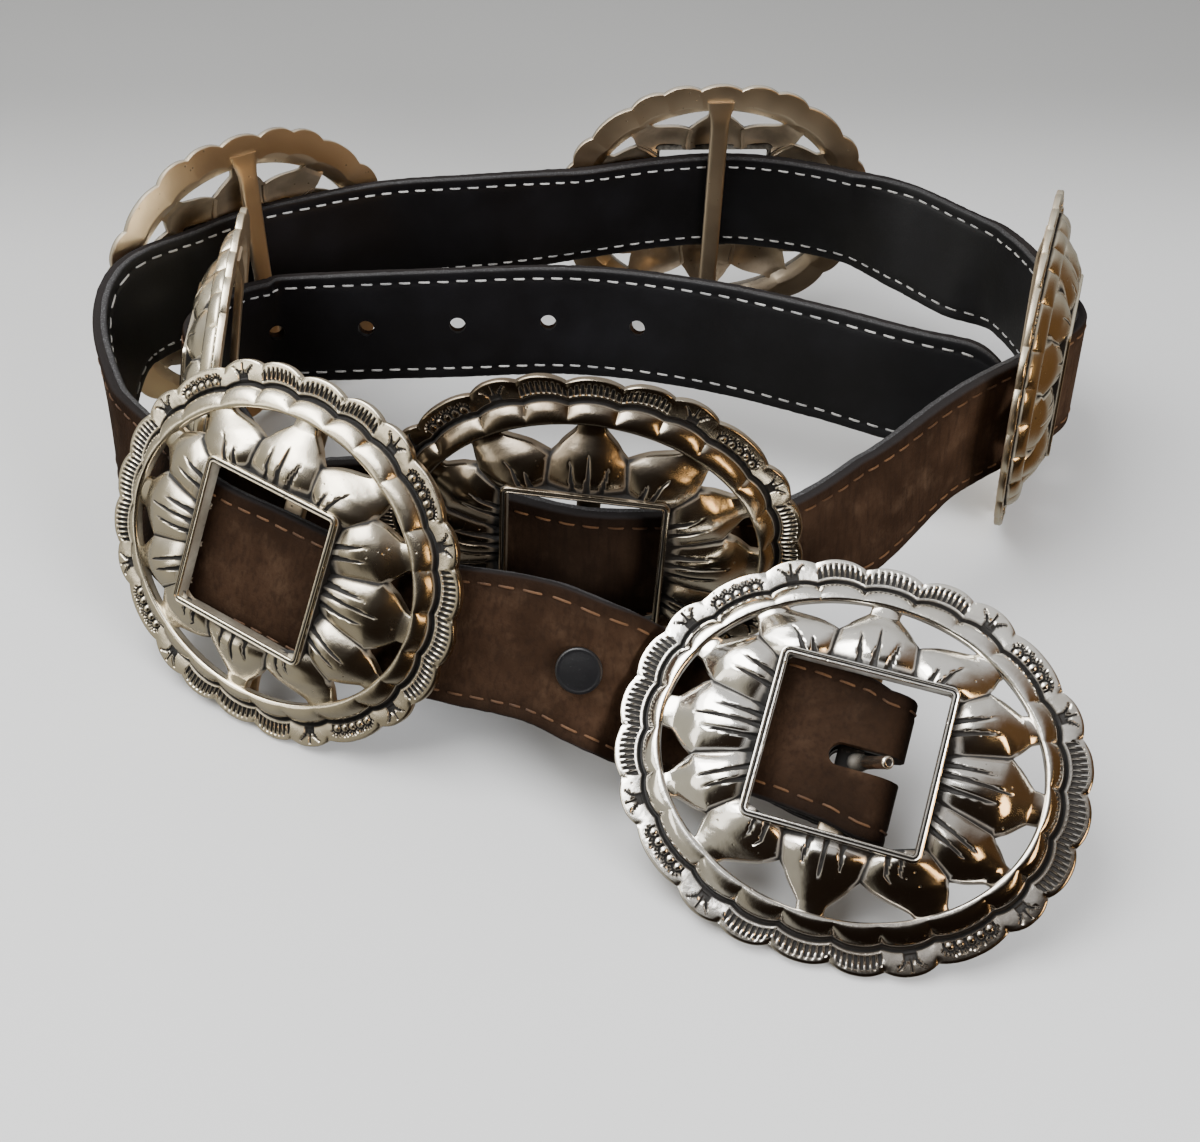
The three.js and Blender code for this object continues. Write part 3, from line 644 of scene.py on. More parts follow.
def addPetal(shape, left, right, leftCorner, rightCorner, rank, leftRank, rightRank, veins):
    qFork, rows, columns, under = (petal[key] for key in ("forkAt", "rows", "columns", "under"))
    q = np.linspace(0, 1, rows)
    sides = []
    middleTip = (np.array(leftCorner) + np.array(rightCorner)) / 2
    for seam, corner, neighbour in ((left, leftCorner, leftRank), (right, rightCorner, rightRank)):
        line, normal, second = petalSide(seam["base"], seam["fork"], corner, q, qFork)
        outward = np.array(seam["fork"]) - middleTip * 0.55
        if np.dot(normal, outward) < 0:
            normal = -normal
        reach = petal["swell"] * np.linalg.norm(np.array(corner) - np.array(seam["fork"]))
        ogee = reach * np.sin(pi * second) * (1.5 * (1 - second) + 0.1)
        over = petal["lapOver"] if rank > neighbour else petal["lapUnder"]
        lap = over * (1 - ease(second, 0.0, 0.25))
        seamRun = np.array(seam["fork"]) - np.array(seam["base"])
        seamNormal = np.array([-seamRun[1], seamRun[0]]) / np.linalg.norm(seamRun)
        if np.dot(seamNormal, np.array(seam["fork"]) - middleTip * 0.6) < 0:
            seamNormal = -seamNormal
        sides.append(line + normal * ogee + seamNormal * lap)
    p = np.linspace(-1, 1, columns)
    share = (p + 1) / 2
    flat = sides[0][:, None] * (1 - share)[None, :, None] + sides[1][:, None] * share[None, :, None]
    flat[0] = frameWall(flat[0])
    tip = np.linalg.norm(flat[-1] / np.array([casting["openLength"] / 2, casting["openHeight"] / 2]), axis=-1)
    flat[-1] *= (1.02 / tip)[:, None]
    width = np.linalg.norm(sides[1] - sides[0], axis=-1)
    q2, p2 = q[:, None], p[None]
    fall = smoothed(q, petal["fallAt"], petal["fall"])[:, None]
    crown = smoothed(q, petal["crownAt"], petal["crown"])[:, None]
    stacked = petal["rankRise"] * rank * (1 - q2) ** 0.7
    top = fall + crown * (1 - np.abs(p2) ** petal["crownPower"]) + stacked
    top = top - petal["edgeDrop"] * ease(np.abs(p2), 0.93, 1.0)
    cut = np.zeros_like(top)
    for start, drift, end in veins:
        middle = start + drift * (q2 / end)
        away = np.abs(p2 - middle) * width[:, None] / 2
        wide = petal["veinWidth"] * (1 - np.clip(q2 / end, 0, 1) ** 1.6) + 0.16
        cut = np.maximum(cut, np.clip((wide - away) / 0.26, 0, 1) * (q2 < end) * ease(end - q2, 0, 0.05))
    top = top - petal["veinDepth"] * cut
    # lapShade is painted shade: darker at the petal's base by the frame, along its seams and under a higher neighbour;
    # it joins the real oxide of the veins
    lapShade = 0.8 * ease(0.15 - q2, 0, 0.15) + 0.14 * (1 - q2) * ease(np.abs(p2), 0.1, 0.9)
    lapShade = lapShade + 0.9 * ease(np.abs(p2), 0.86, 0.99) * (1 - ease(q2, 0.42, 0.75))
    for neighbour, towards in ((leftRank, -p2), (rightRank, p2)):
        if rank < neighbour:
            lapShade = lapShade + 0.8 * ease(towards, 0.72, 0.9) * (q2 < qFork)
    oxide = np.clip(1.2 * ease(cut, 0.1, 0.7) + lapShade * 0.85, 0, 1)
    below = np.linspace(1, -1, under)
    share = (below + 1) / 2
    flatBelow = sides[0][:, None] * (1 - share)[None, :, None] + sides[1][:, None] * share[None, :, None]
    flatBelow[0] = frameWall(flatBelow[0])
    flatBelow[-1] = flat[-1][np.linspace(columns - 1, 0, under).astype(int)]
    bottom = fall + crown * (1 - np.abs(below[None]) ** petal["crownPower"]) - casting["petal"] + stacked
    bottom = bottom - petal["edgeDrop"] * (np.abs(below[None]) > 0.99)
    loopFlat = np.concatenate([flat, flatBelow], 1)
    loopHeight = np.concatenate([top, bottom], 1)
    # the petal's underside takes some painted shade
    loopOxide = np.concatenate([oxide, np.full_like(bottom, petal["underside"])], 1)
    loopBack = np.concatenate([np.zeros_like(top), np.full_like(bottom, 1.0)], 1)
    around = columns + under
    points = np.concatenate([loopFlat.reshape(-1, 2), loopHeight.reshape(-1, 1)], 1)
    faces = gridFaces(rows, around, False, True).tolist()
    faces += [list(range(around)), list(range((rows - 1) * around, rows * around))[::-1]]
    shape.add(points, faces, oxide=loopOxide.ravel(), back=loopBack.ravel())


def mirrored(seam):
    flip = lambda point: (-point[0], point[1])
    return dict(base=flip(seam["base"]), fork=flip(seam["fork"]), corners=tuple(flip(c) for c in seam["corners"]))


def addFlower(shape):
    top, bottom = seams[0], seams[5]
    addPetal(shape, mirrored(top), top, mirrored(top)["corners"][0], top["corners"][0], 3, 2, 2, petalVeins[0])
    flipped = mirrored(bottom)
    addPetal(shape, bottom, flipped, bottom["corners"][1], flipped["corners"][1], 3, 2, 2, petalVeins[6])
    for i in range(5):
        before, after = seams[i], seams[i + 1]
        ranks = petalRanks[i + 1], petalRanks[i], petalRanks[i + 2]
        addPetal(shape, before, after, before["corners"][1], after["corners"][0], *ranks, petalVeins[i + 1])
        addPetal(shape, mirrored(before), mirrored(after), mirrored(before)["corners"][1],
                 mirrored(after)["corners"][0], *ranks, petalVeins[i + 1])


def roundedRectangle(halfLength, halfHeight, radius, perCorner=7):
    points = []
    for k, (x, y) in enumerate(((1, 1), (-1, 1), (-1, -1), (1, -1))):
        for turn in np.linspace(0, pi / 2, perCorner) + k * pi / 2:
            points.append((x * (halfLength - radius) + radius * cos(turn),
                           y * (halfHeight - radius) + radius * sin(turn)))
    return np.array(points)


def addWindowFrame(shape):
    inside = np.array([casting["windowLength"], casting["windowHeight"]]) / 2
    top, wall, depth = casting["frameTop"], casting["frameWall"], casting["frameDepth"]
    # the last column is the oxide-and-shade mark, darkest in the groove and on the walls
    profile = [  # how far out of the window's edge, w, oxide
        (0.0, top - depth, 0.5), (0.0, top - 0.5, 0.35), (0.06, top - 0.16, 0.0), (0.22, top, 0.0),
        (0.46, top, 0.0), (0.62, top - 0.28, 0.85), (0.74, top - 0.42, 1.0), (0.86, top - 0.28, 0.85),
        (1.0, top - 0.05, 0.0), (1.22, top + 0.02, 0.0), (wall - 0.12, top - 0.1, 0.0), (wall, top - 0.42, 0.0),
        (wall, top - 1.2, 0.75), (wall + 0.1, top - depth, 0.6),
    ]
    loops = [roundedRectangle(*(inside + out), 0.5 + out * 0.9) for out, _, _ in profile]
    count = len(loops[0])
    points = np.concatenate([np.c_[loop, np.full(count, w)] for loop, (_, w, _) in zip(loops, profile)])
    oxide = np.repeat([o for _, _, o in profile], count)
    shape.add(points, gridFaces(len(profile), count, True, True), oxide=oxide)


bar = {"rows": 40, "flare": 1.3, "flareFrom": 29, "flareTo": 37, "thinned": 0.55, "darkHalf": 7}


def addBar(shape):
    rows = bar["rows"]
    v = np.linspace(-1, 1, rows) * (casting["ringHeight"] / 2 + 0.3)
    half = casting["barWidth"] / 2 + bar["flare"] * ease(np.abs(v), bar["flareFrom"], bar["flareTo"]) ** 2
    thick = casting["barThickness"] * (1 - bar["thinned"] * ease(np.abs(v), bar["flareFrom"] + 1, bar["flareTo"]))
    top = -casting["rim"] + strap["gap"]
    section = roundedRectangle(1.0, casting["barThickness"] / 2, 0.45, 4)
    points = []
    for at, wide, deep in zip(v, half, thick):
        x = section[:, 0] * wide
        depth = section[:, 1] / casting["barThickness"] * deep + top - deep / 2
        points.append(np.c_[x, np.full(len(x), at), depth])
    around = len(section)
    faces = gridFaces(rows, around, False, True).tolist()
    faces += [list(range(around)), list(range((rows - 1) * around, rows * around))[::-1]]
    front = np.tile(section[:, 1] > 0, rows)
    dark = np.repeat(0.8 * ease(bar["darkHalf"] - np.abs(v), 0, 3), around)
    shape.add(np.concatenate(points), faces, back=1.0, oxide=front * dark)


castingShape = Shape()
addRim(castingShape)
addFlower(castingShape)
addWindowFrame(castingShape)
addBar(castingShape)
localPoints = np.concatenate(castingShape.points)


# how far each casting is creamy and satin (painted cream reflection, and rougher), and how far it is darkened all over
# and more on one side (u, v) as painted dark reflection
tarnish = {
    "buckle": (0.0, 0.0, 0.62, (0.62, -0.78)), "concho_1": (0.9, 0.2, 0.3, (1.0, 0.3)),
    "concho_2": (0.6, 0.0, 0.0, (1.0, 0.0)), "concho_3": (0.5, 0.0, 0.6, (0.0, -1.0)),
    "concho_4": (1.0, 0.0, 0.1, (1.0, 0.0)), "concho_5": (0.8, 0.86, -0.5, (0.94, -0.1)),
    "concho_6": (1.0, 0.05, 0.0, (1.0, 0.0)),
}


def castingPiece(row):
    placed = Shape()
    placed.points = [place(places[row["name"]], localPoints) + shift]
    satin, allOver, onOneSide, side = tarnish[row["name"]]
    towards = localPoints[:, :2] @ np.array(side) / (casting["length"] / 2)
    placed.faces, placed.marks, placed.count = castingShape.faces, dict(castingShape.marks), castingShape.count
    # painted dark reflection, all over and rising towards one side
    placed.marks["tarnish"] = [np.clip(allOver + onOneSide * ease(towards, -0.15, 0.8), 0, 1)]
    placed.marks["satin"] = [np.full(len(localPoints), satin)]
    mesh = placed.mesh(row["name"] + "_relief", silver, sharp=38)
    return addPiece(row["name"] + "_casting", mesh, [row["name"]])


for row in castings:
    castingPiece(row)
print("castings:", len(castingShape.faces), "faces each")


peg = {"diameter": 2.8, "length": 12.6, "tilt": 33, "rings": 10, "around": 28}


def turned(profile, around, foot, axis):
    # a turned shape: profile of (radius, height) along an axis from its foot
    axis = unit(np.asarray(axis, float))
    side = unit(np.cross(axis, [0.3, 0.1, 0.9]))
    other = np.cross(axis, side)
    angles = np.arange(around) * 2 * pi / around
    circle = np.cos(angles)[:, None] * side + np.sin(angles)[:, None] * other
    points = np.concatenate([foot + axis * height + circle * max(radius, 0.01) for radius, height in profile])
    faces = gridFaces(len(profile), around, False, True).tolist()
    last = (len(profile) - 1) * around
    faces += [list(range(around)), list(range(last, last + around))[::-1]]
    return points, faces


def addPeg():
    axes = places["buckle"]
    top = -casting["rim"] + strap["gap"]
    foot = place(axes, (casting["barWidth"] / 4, 0, top - casting["barThickness"] / 2)) + shift
    tilt = radians(peg["tilt"])
    axis = np.array([sin(tilt), 0, cos(tilt)]) @ axes["axes"]
    r, end = peg["diameter"] / 2, peg["length"]
    profile = [(r * 1.5, 0), (r * 1.45, 1.2), (r * 1.3, 2.6), (r * 1.05, 4.2), (r * 0.97, end * 0.6),
               (r, end - 1.3), (r * 1.04, end - 0.9), (r * 0.98, end - 0.35), (r * 0.8, end - 0.08), (r * 0.62, end - 0.02), (r * 0.5, end - 0.25), (0, end - 0.4)]
    oxide = [0.6, 0.45, 0.3, 0.18, 0, 0, 0, 0, 0, 0.2, 0.9, 1.0]
    shape = Shape()
    points, faces = turned(profile, peg["around"], foot, axis)
    shape.add(points, faces, oxide=np.repeat(oxide, peg["around"]), back=0.35)
    addPiece("buckle_peg", shape.mesh("buckle_peg", silver))


addPeg()


leatherOut = strap["plyGap"] / 2 + strap["leather"]
liningIn = strap["plyGap"] / 2 + strap["lining"]
barTop = -casting["rim"] + strap["gap"]
barFront = barTop + 2 * strap["gap"] + liningIn
foldCentre = barTop - casting["barThickness"] / 2


def turnAbout(vector, axis, angle):
    return (vector * cos(angle) + np.cross(axis, vector) * sin(angle)
            + axis * np.dot(axis, vector) * (1 - cos(angle)))


def mainStations():
    width = strap["width"]
    windowReach = (casting["windowLength"] / 2 + casting["frameWall"]) / width
    stations = []
    for row in castings:
        axes = places[row["name"]]
        u, v, _ = axes["axes"]
        marks = [
            (row["inAt"], row["inOut"], row["riseIn"] + row.get("climbIn", 0), 0),
            (windowReach, row["shoulder"], row["riseIn"], 0),
            (0, row["bulge"], (row["riseIn"] + row["riseOut"]) / 2, 0),
            (-windowReach, row["shoulder"], row["riseOut"], 0),
            (-row["outAt"], row["outOut"], row["riseOut"], row["outTwist"]),
        ][2 if row["name"] == "buckle" else 0:]
        for along, out, rise, twist in marks:
            w = max(out * width, barFront) if along == 0 else out * width
            stations.append([place(axes, (along * width, rise * width, w)), turnAbout(v, u, radians(twist)), None])
        for after, x, y, lift, lean in spans:
            if after == row["name"]:
                point = np.array([x * layout["loopWidth"], y * layout["loopDepth"], lift * width])
                stations.append([point, None, lean])
    for i, station in enumerate(stations):
        if station[1] is None:
            travel = stations[min(i + 1, len(stations) - 1)][0] - stations[i - 1][0]
            travel[2] = 0
            travel = unit(travel)
            inward = np.array([travel[1], -travel[0], 0])
            lean = radians(station[2])
            station[1] = np.array([0, 0, cos(lean)]) + inward * sin(lean)
    return np.array([s[0] for s in stations]), np.array([s[1] for s in stations])


def curvePoint(points, t):
    # centripetal curve through points, t from 0 to 1
    whole = t * (len(points) - 1)
    i = min(int(whole), len(points) - 2)
    weight = whole - i
    before = points[i - 1] if i > 0 else 2 * points[0] - points[1]
    after = points[i + 2] if i + 2 < len(points) else 2 * points[-1] - points[-2]
    p0, p1, p2, p3 = before, points[i], points[i + 1], after
    d0, d1, d2 = (max(np.linalg.norm(b - a), 1e-6) ** 0.5 for a, b in ((p0, p1), (p1, p2), (p2, p3)))
    t1 = ((p1 - p0) / d0 - (p2 - p0) / (d0 + d1) + (p2 - p1) / d1) * d1
    t2 = ((p2 - p1) / d1 - (p3 - p1) / (d1 + d2) + (p3 - p2) / d2) * d1
    return (p1 + t1 * weight + (-3 * p1 + 3 * p2 - 2 * t1 - t2) * weight ** 2
            + (2 * p1 - 2 * p2 + t1 + t2) * weight ** 3)


def runLengths(points):
    return np.concatenate([[0], np.cumsum(np.linalg.norm(np.diff(points, axis=0), axis=1))])


def smoothLine():
    points, across = mainStations()
    fine = 24 * (len(points) - 1)
    where = np.array([curvePoint(points, i / fine) for i in range(fine + 1)])
    nudge = 1e-4
    tangent = unit(np.array([curvePoint(points, min(i / fine + nudge, 1)) - curvePoint(points, max(i / fine - nudge, 0))
                             for i in range(fine + 1)]))
    whole = np.arange(fine + 1) / fine * (len(points) - 1)
    first = np.minimum(whole.astype(int), len(points) - 2)
    side = lerp(across[first], across[first + 1], (whole - first)[:, None])
    side = unit(side - tangent * (side * tangent).sum(1, keepdims=True))
    return {"point": where, "across": side, "out": np.cross(side, tangent), "length": runLengths(where)}


def lineAt(line, lengths):
    at = {key: np.stack([np.interp(lengths, line["length"], line[key][:, k]) for k in range(3)], -1)
          for key in ("point", "across", "out")}
    at["across"], at["out"] = unit(at["across"]), unit(at["out"])
    at["length"] = np.asarray(lengths, float)
    return at


def wholeLine(main):
    buckle = places["buckle"]
    back = np.arange(strap["foldBack"], 0, -1.0)
    doubled = lineAt(main, np.append(back, 0))
    settled = np.clip((doubled["length"] - casting["barWidth"]) / (casting["windowLength"] / 4), 0, 1)
    drop = lerp(2 * (barFront - foldCentre), 2 * liningIn + strap["gap"], settled)[:, None]
    angle = np.linspace(-pi / 2, pi / 2, 25)
    u = strap["foldReach"] + strap["foldRadius"] * np.cos(angle)
    w = foldCentre + (barFront - foldCentre) * np.sin(angle)
    fold = place(buckle, np.c_[u, np.zeros_like(u), w])
    foldOut = np.c_[np.cos(angle), np.zeros_like(u), np.sin(angle)] @ buckle["axes"]
    foldAcross = np.repeat(buckle["axes"][1][None], len(angle), 0)
    points = np.concatenate([doubled["point"] - doubled["out"] * drop, fold, main["point"]])
    across = np.concatenate([doubled["across"], foldAcross, main["across"]])
    out = np.concatenate([-doubled["out"], foldOut, main["out"]])
    return {"point": points, "across": across, "out": out, "length": runLengths(points)}


mainLine = smoothLine()
strapLine = wholeLine(mainLine)
strapEnd = strapLine["length"][-1]
steps = int(strapEnd / strap["step"])
ribbonLine = lineAt(strapLine, np.linspace(0, strapEnd, steps + 1))
print("strap", round(strapEnd), "mm")


# tucked: how much narrower the fold-back is at each edge
stitch = {
    "pitch": 5.3, "fromEdge": 3.0, "tanShare": 0.74, "paleShare": 0.66, "radius": 0.3, "around": 5,
    "tucked": 0.9,
}


def halfWidth(lengths):
    # round at the tip, a little narrower where it is folded back
    left = np.clip((strapEnd - lengths) / strap["tipRound"], 0, 1)
    tucked = stitch["tucked"] * (1 - ease(np.asarray(lengths), strap["foldBack"] * 0.7, strap["foldBack"]))
    return strap["width"] / 2 * np.sqrt(1 - 0.9 * (1 - left) ** 2) - tucked


def plySection(outer, side):
    # across share, out from the strap's middle, edge, raw: one ply, its face first
    face = [-0.965, -0.93, -0.885, -0.85, -0.8125, -0.775, -0.74, -0.66, -0.5, -0.32, -0.16, 0]
    face = face + [-x for x in face[-2::-1]]
    sewn = 1 - stitch["fromEdge"] / (strap["width"] / 2)
    section = []
    for x in face:
        groove = 0.26 * np.exp(-(((abs(x) - sewn) * strap["width"] / 2) / 0.62) ** 2)
        droop = 0.1 * max(abs(x) - 0.8, 0) / 0.2
        section.append((x, outer - side * (groove + droop), max(abs(x) - 0.62, 0) / 0.38, 0.0))
    section += [(0.99, outer - side * 0.32, 1.0, 0.6), (1.0, outer - side * 0.75, 1.0, 1.0),
                (1.0, outer * 0.4, 1.0, 1.0), (0.995, side * 0.02, 1.0, 1.0), (0.5, side * 0.02, 1, 1), (-0.5, side * 0.02, 1, 1),
                (-0.995, side * 0.02, 1.0, 1.0), (-1.0, outer * 0.4, 1.0, 1.0), (-1.0, outer - side * 0.75, 1.0, 1.0),
                (-0.99, outer - side * 0.32, 1.0, 0.6)]
    return np.array(section)


def paintedWindowShade(line):
    # painted shade: the leather is darker where it lies behind some of the windows
    dark = np.zeros(len(line["length"]))
    for name, depth, reach in (("concho_5", 0.72, 20), ("buckle", 0.3, 14)):
        away = np.linalg.norm(line["point"] - places[name]["origin"], axis=1)
        away[line["length"] < strap["foldBack"]] = 1e3
        middle = line["length"][np.argmin(away)]
        dark += depth * np.exp(-((line["length"] - middle) / reach) ** 2)
    return np.clip(dark, 0, 1)


def plyPiece(name, outer, side, material, node, slot, cutters):
    section = plySection(outer, side)
    count, around = len(ribbonLine["length"]), len(section)
    half = halfWidth(ribbonLine["length"])
    rng = np.random.default_rng(7 if side > 0 else 11)
    rawEdge = section[:, 3] > 0.5       # which isn't cut clean
    rough = rng.normal(0, 0.05, (count, around)) * rawEdge
    across = section[None, :, 0] * (half[:, None] + rough)
    outwards = section[None, :, 1] + rng.normal(0, 0.035, (count, around)) * rawEdge
    thinned = lerp(0.35, 1, ease(ribbonLine["length"], -2, 14))     # at the fold-back's end
    outwards = outwards * thinned[:, None]
    points = (ribbonLine["point"][:, None] + ribbonLine["across"][:, None] * across[..., None]
              + ribbonLine["out"][:, None] * outwards[..., None]) + shift
    faces = gridFaces(count, around, False, True).tolist()
    faces += [list(range(around)), list(range((count - 1) * around, count * around))[::-1]]
    shape = Shape()
    shape.add(points, faces, edge=np.tile(section[:, 2], count), raw=np.tile(section[:, 3], count),
              worn=np.repeat(paintedWindowShade(ribbonLine), around))
    mesh = shape.mesh(name, material, sharp=55)
    piece = addPiece(name, mesh, [node])
    for cutter in cutters:
        cut = piece.modifiers.new("cut", "BOOLEAN")
        cut.operation, cut.solver, cut.object = "DIFFERENCE", "EXACT", cutter
    bpy.context.view_layer.update()
    graph = bpy.context.evaluated_depsgraph_get()
    finished = bpy.data.meshes.new_from_object(piece.evaluated_get(graph), preserve_all_data_layers=True,
                                               depsgraph=graph)
    piece.modifiers.clear()
    piece.data = finished
    finished.polygons.foreach_set("use_smooth", [True] * len(finished.polygons))
    finished.set_sharp_from_angle(angle=radians(55))
    return piece


def cutterObject(name, points, faces, material):
    shape = Shape()
    # the cut walls of the holes and slot take full painted shade
    shape.add(points, faces, edge=1.0, raw=0.9, worn=1.0)
    cutter = bpy.data.objects.new(name, shape.mesh(name, material))
    bpy.context.scene.collection.objects.link(cutter)
    return cutter


def strapCutters(material):
    cutters = []
    for i in range(strap["tipHoles"]):
        spot = lineAt(strapLine, [strapEnd - strap["firstHole"] - i * strap["holePitch"]])
        foot = spot["point"][0] + shift - spot["out"][0] * 6
        points, faces = turned([(strap["tipHole"] / 2, 0), (strap["tipHole"] / 2, 12)], 32, foot, spot["out"][0])
        cutters.append(cutterObject(f"hole_{i}", points, faces, material))
    r = strap["slotWidth"] / 2
    reach = strap["foldReach"] + strap["foldRadius"] + leatherOut + strap["gap"]
    start = strap["foldReach"] - strap["slotLength"] + r
    turns = np.linspace(pi / 2, 3 * pi / 2, 17)
    flat = np.concatenate([[(reach, r)], np.c_[start + r * np.cos(turns), r * np.sin(turns)], [(reach, -r)]])
    low = np.c_[flat, np.full(len(flat), 2 * foldCentre - barFront - leatherOut - 0.5)]
    high = np.c_[flat, np.full(len(flat), barFront + leatherOut + 0.5)]
    points = place(places["buckle"], np.concatenate([low, high])) + shift
    around = len(flat)
    faces = gridFaces(2, around, False, True).tolist() + [list(range(around)), list(range(around, 2 * around))[::-1]]
    cutters.append(cutterObject("slot", points, faces, material))
    return cutters


for ply in (("strap_brown", leatherOut, 1, brownLeather, "strap_leather", "brown_leather"),
            ("strap_black", -liningIn, -1, blackLeather, "strap_lining", "black_leather")):
    cutters = strapCutters(ply[3])
    plyPiece(*ply, cutters)
    for cutter in cutters:
        bpy.data.objects.remove(cutter)
print("plies done")


def addStitches(name, outer, side, share, material):
    shape = Shape()
    pitch, r, around = stitch["pitch"], stitch["radius"], stitch["around"]
    angles = np.arange(around) * 2 * pi / around
    starts = np.arange(4.0, strapEnd - strap["tipRound"] * 0.7, pitch)
    # a thread sinks at both ends into its hole
    t = np.array([0.0, 0.12, 0.5, 0.88, 1.0])
    lift = np.array([-0.38, 0.06, 0.16, 0.06, -0.38])
    fat = np.array([0.6, 0.95, 1.0, 0.95, 0.6])
    rng = np.random.default_rng(3)
    for edge in (-1, 1):
        for start in starts:
            lengths = start + t * pitch * share + rng.normal(0, 0.06)
            line = lineAt(strapLine, lengths)
            half = halfWidth(lengths) - stitch["fromEdge"]
            skew = 0.1 * side * (t - 0.5)
            middle = line["point"] + line["across"] * (edge * half + skew + rng.normal(0, 0.05))[:, None] \
                + line["out"] * (outer + side * (lift - 0.18))[:, None]
            ring = (line["across"][:, None] * (np.cos(angles) * r)[None, :, None] * fat[:, None, None]
                    + line["out"][:, None] * (np.sin(angles) * r * 0.8)[None, :, None] * fat[:, None, None])
            points = middle[:, None] + ring + shift
            faces = gridFaces(len(t), around, False, True).tolist()
            last = (len(t) - 1) * around
            faces += [list(range(around)), list(range(last, last + around))[::-1]]
            shape.add(points, faces)
    addPiece(name, shape.mesh(name, material, sharp=80))


addStitches("thread_tan", leatherOut, 1, stitch["tanShare"], tanThread)
addStitches("thread_pale", -liningIn, -1, stitch["paleShare"], paleThread)
print("stitches done")


snap = {"diameter": 10.5, "height": 1.7, "stud": 5.6, "post": 4.0, "studHeight": 1.2, "seat": 0.9,
        "fromBar": [22, 66.5], "around": 72}


def addSnap(i, length):
    spot = lineAt(mainLine, [length])
    axis = spot["out"][0]
    foot = spot["point"][0] + shift + axis * (leatherOut + 0.15)
    r, h = snap["diameter"] / 2, snap["height"] + snap["seat"] - 0.1
    deep = 2 * (leatherOut + liningIn) + snap["seat"] + strap["gap"] + 0.4
    profile = [
        (0, -deep - snap["studHeight"]), (snap["stud"] / 2 - 0.4, -deep - snap["studHeight"]),
        (snap["stud"] / 2, -deep - snap["studHeight"] + 0.3), (snap["stud"] / 2, -deep), (snap["post"] / 2, -deep),
        (snap["post"] / 2, -0.3), (r * 0.9, -0.2), (r * 0.99, 0.25), (r, 0.6), (r * 0.985, 0.95), (r * 0.94, 1.16),
        (r * 0.88, 1.2), (r * 0.84, 1.12), (r * 0.8, 1.12), (r * 0.6, h * 0.52), (r * 0.3, h * 0.57), (0, h * 0.58),
    ]
    shape = Shape()
    points, faces = turned(profile, snap["around"], foot, axis)
    shape.add(points, faces)
    addPiece(f"snap_{i}_cap", shape.mesh(f"snap_{i}_cap", blackSnap, sharp=40), [f"snap_{i}"])


for i, length in enumerate(snap["fromBar"]):
    addSnap(i + 1, length)


floor = {"size": 6.0, "fades": 0.15, "faded": 0.36}


def addFloor():
    half = floor["size"] / 2
    mesh = bpy.data.meshes.new("floor")
    mesh.from_pydata([(-half, -half, 0), (half, -half, 0), (half, half, 0), (-half, half, 0)], [], [(0, 1, 2, 3)])
    m = Maker(bpy.data.materials.new("paleFloor"))
    where = m.where()
    soft = m.noise(where, 3.0, 2.0)
    tone = m.mix(soft, (0.68, 0.688, 0.693), (0.715, 0.72, 0.722))
    # painted shade: the floor darkens towards the back (+Y), from fades to faded
    across = m.node("ShaderNodeSeparateXYZ", {}, {"Vector": where}, output="Y")
    tone = m.mix(across.between(floor["fades"], floor["faded"]), tone, (0.4, 0.403, 0.402))
    mesh.materials.append(m.surface(baseColour=tone, roughness=0.6, specular=0.25))
    piece = bpy.data.objects.new("floor", mesh)
    bpy.context.scene.collection.objects.link(piece)
    piece.visible_glossy = False
    piece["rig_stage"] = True


def addLight(name, at, target, size, power, colour=(1, 1, 1), lights="all"):
    # lights "all", or "matt" surfaces alone, or what is "glossy" alone
    data = bpy.data.lights.new(name, "AREA")
    data.shape, data.size, data.size_y = "RECTANGLE", size[0], size[1]
    data.energy, data.color = power, colour
    light = bpy.data.objects.new(name, data)
    light.visible_glossy, light.visible_diffuse = lights != "matt", lights != "glossy"
    light.location = at
    light.rotation_euler = (Vector(target) - Vector(at)).to_track_quat("-Z", "Y").to_euler()
    bpy.context.scene.collection.objects.link(light)


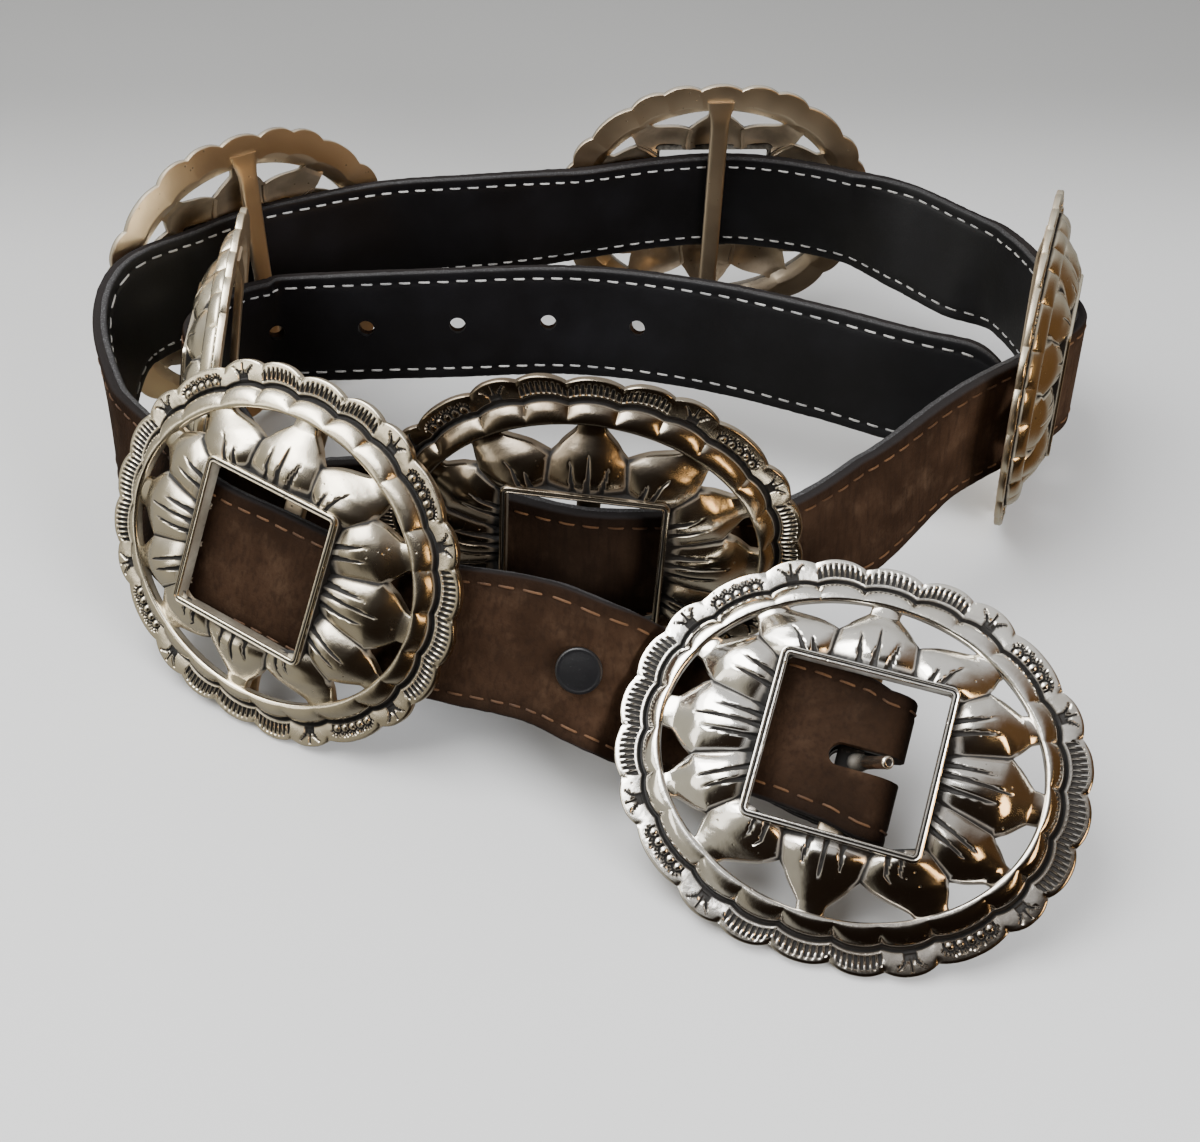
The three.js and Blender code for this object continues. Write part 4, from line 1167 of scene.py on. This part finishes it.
room = {
    "sky": 0.8, "overhead": 8, "window": 9, "left": 2, "warm": 1.3, "fill": 17,
    "backdrop": (0.55, 0.55, 0.55),
}


def addRoom():
    # bright above and to the left, dark where the camera stands, warm to the right
    world = bpy.data.worlds.new("room")
    bpy.context.scene.world = world
    m = Maker(world)
    direction = m.node("ShaderNodeTexCoord", output="Generated")
    dot = lambda vector: m.node("ShaderNodeVectorMath", {"operation": "DOT_PRODUCT"},
                                {0: direction, 1: vector}, output="Value")
    up = dot((0.0, 0.0, 1.0))
    colour = m.mix(up.between(-0.1, 0.8), (0.42, 0.41, 0.38), (1.0, 1.0, 1.0))
    colour = m.mix(dot((-0.9, -0.4, 0.1)).between(0.35, 0.9), colour, (0.6, 0.565, 0.47))
    colour = m.mix(dot((0.86, -0.45, 0.05)).between(0.15, 0.75), colour, (0.16, 0.085, 0.035))
    colour = m.mix(dot((0.24, -0.96, 0.05)).between(0.4, 0.68), colour, (0.022, 0.014, 0.009))
    seen = m.node("ShaderNodeLightPath", output="Is Camera Ray")
    colour = m.mix(seen, colour, room["backdrop"])
    shader = m.node("ShaderNodeBackground", {}, {"Color": colour, "Strength": room["sky"]})
    m.node("ShaderNodeOutputWorld", {}, {"Surface": shader})


addFloor()
addRoom()
addLight("overhead", (-0.3, -0.12, 0.72), (0, -0.12, 0), (0.7, 0.45), room["overhead"])
addLight("window", (-0.5, 0.05, 0.75), (0, -0.1, 0), (0.8, 0.6), room["window"], (1, 0.99, 0.96), "glossy")
addLight("left", (-0.95, -0.45, 0.45), (0, -0.05, 0.03), (0.4, 0.6), room["left"], (1, 0.96, 0.88))
addLight("warm", (0.5, -0.5, 0.3), (0.06, -0.1, 0.03), (0.16, 0.3), room["warm"], (1, 0.62, 0.28), "glossy")
addLight("fill", (0.6, -0.8, 0.34), (0.05, -0.03, 0.04), (0.4, 0.3), room["fill"], (0.97, 0.98, 1.0), "matt")
print("lights done")

shown = [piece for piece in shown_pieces() if piece.type == "MESH" and "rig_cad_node" not in piece]
print("triangles", sum(len(face.vertices) - 2 for piece in shown for face in piece.data.polygons))
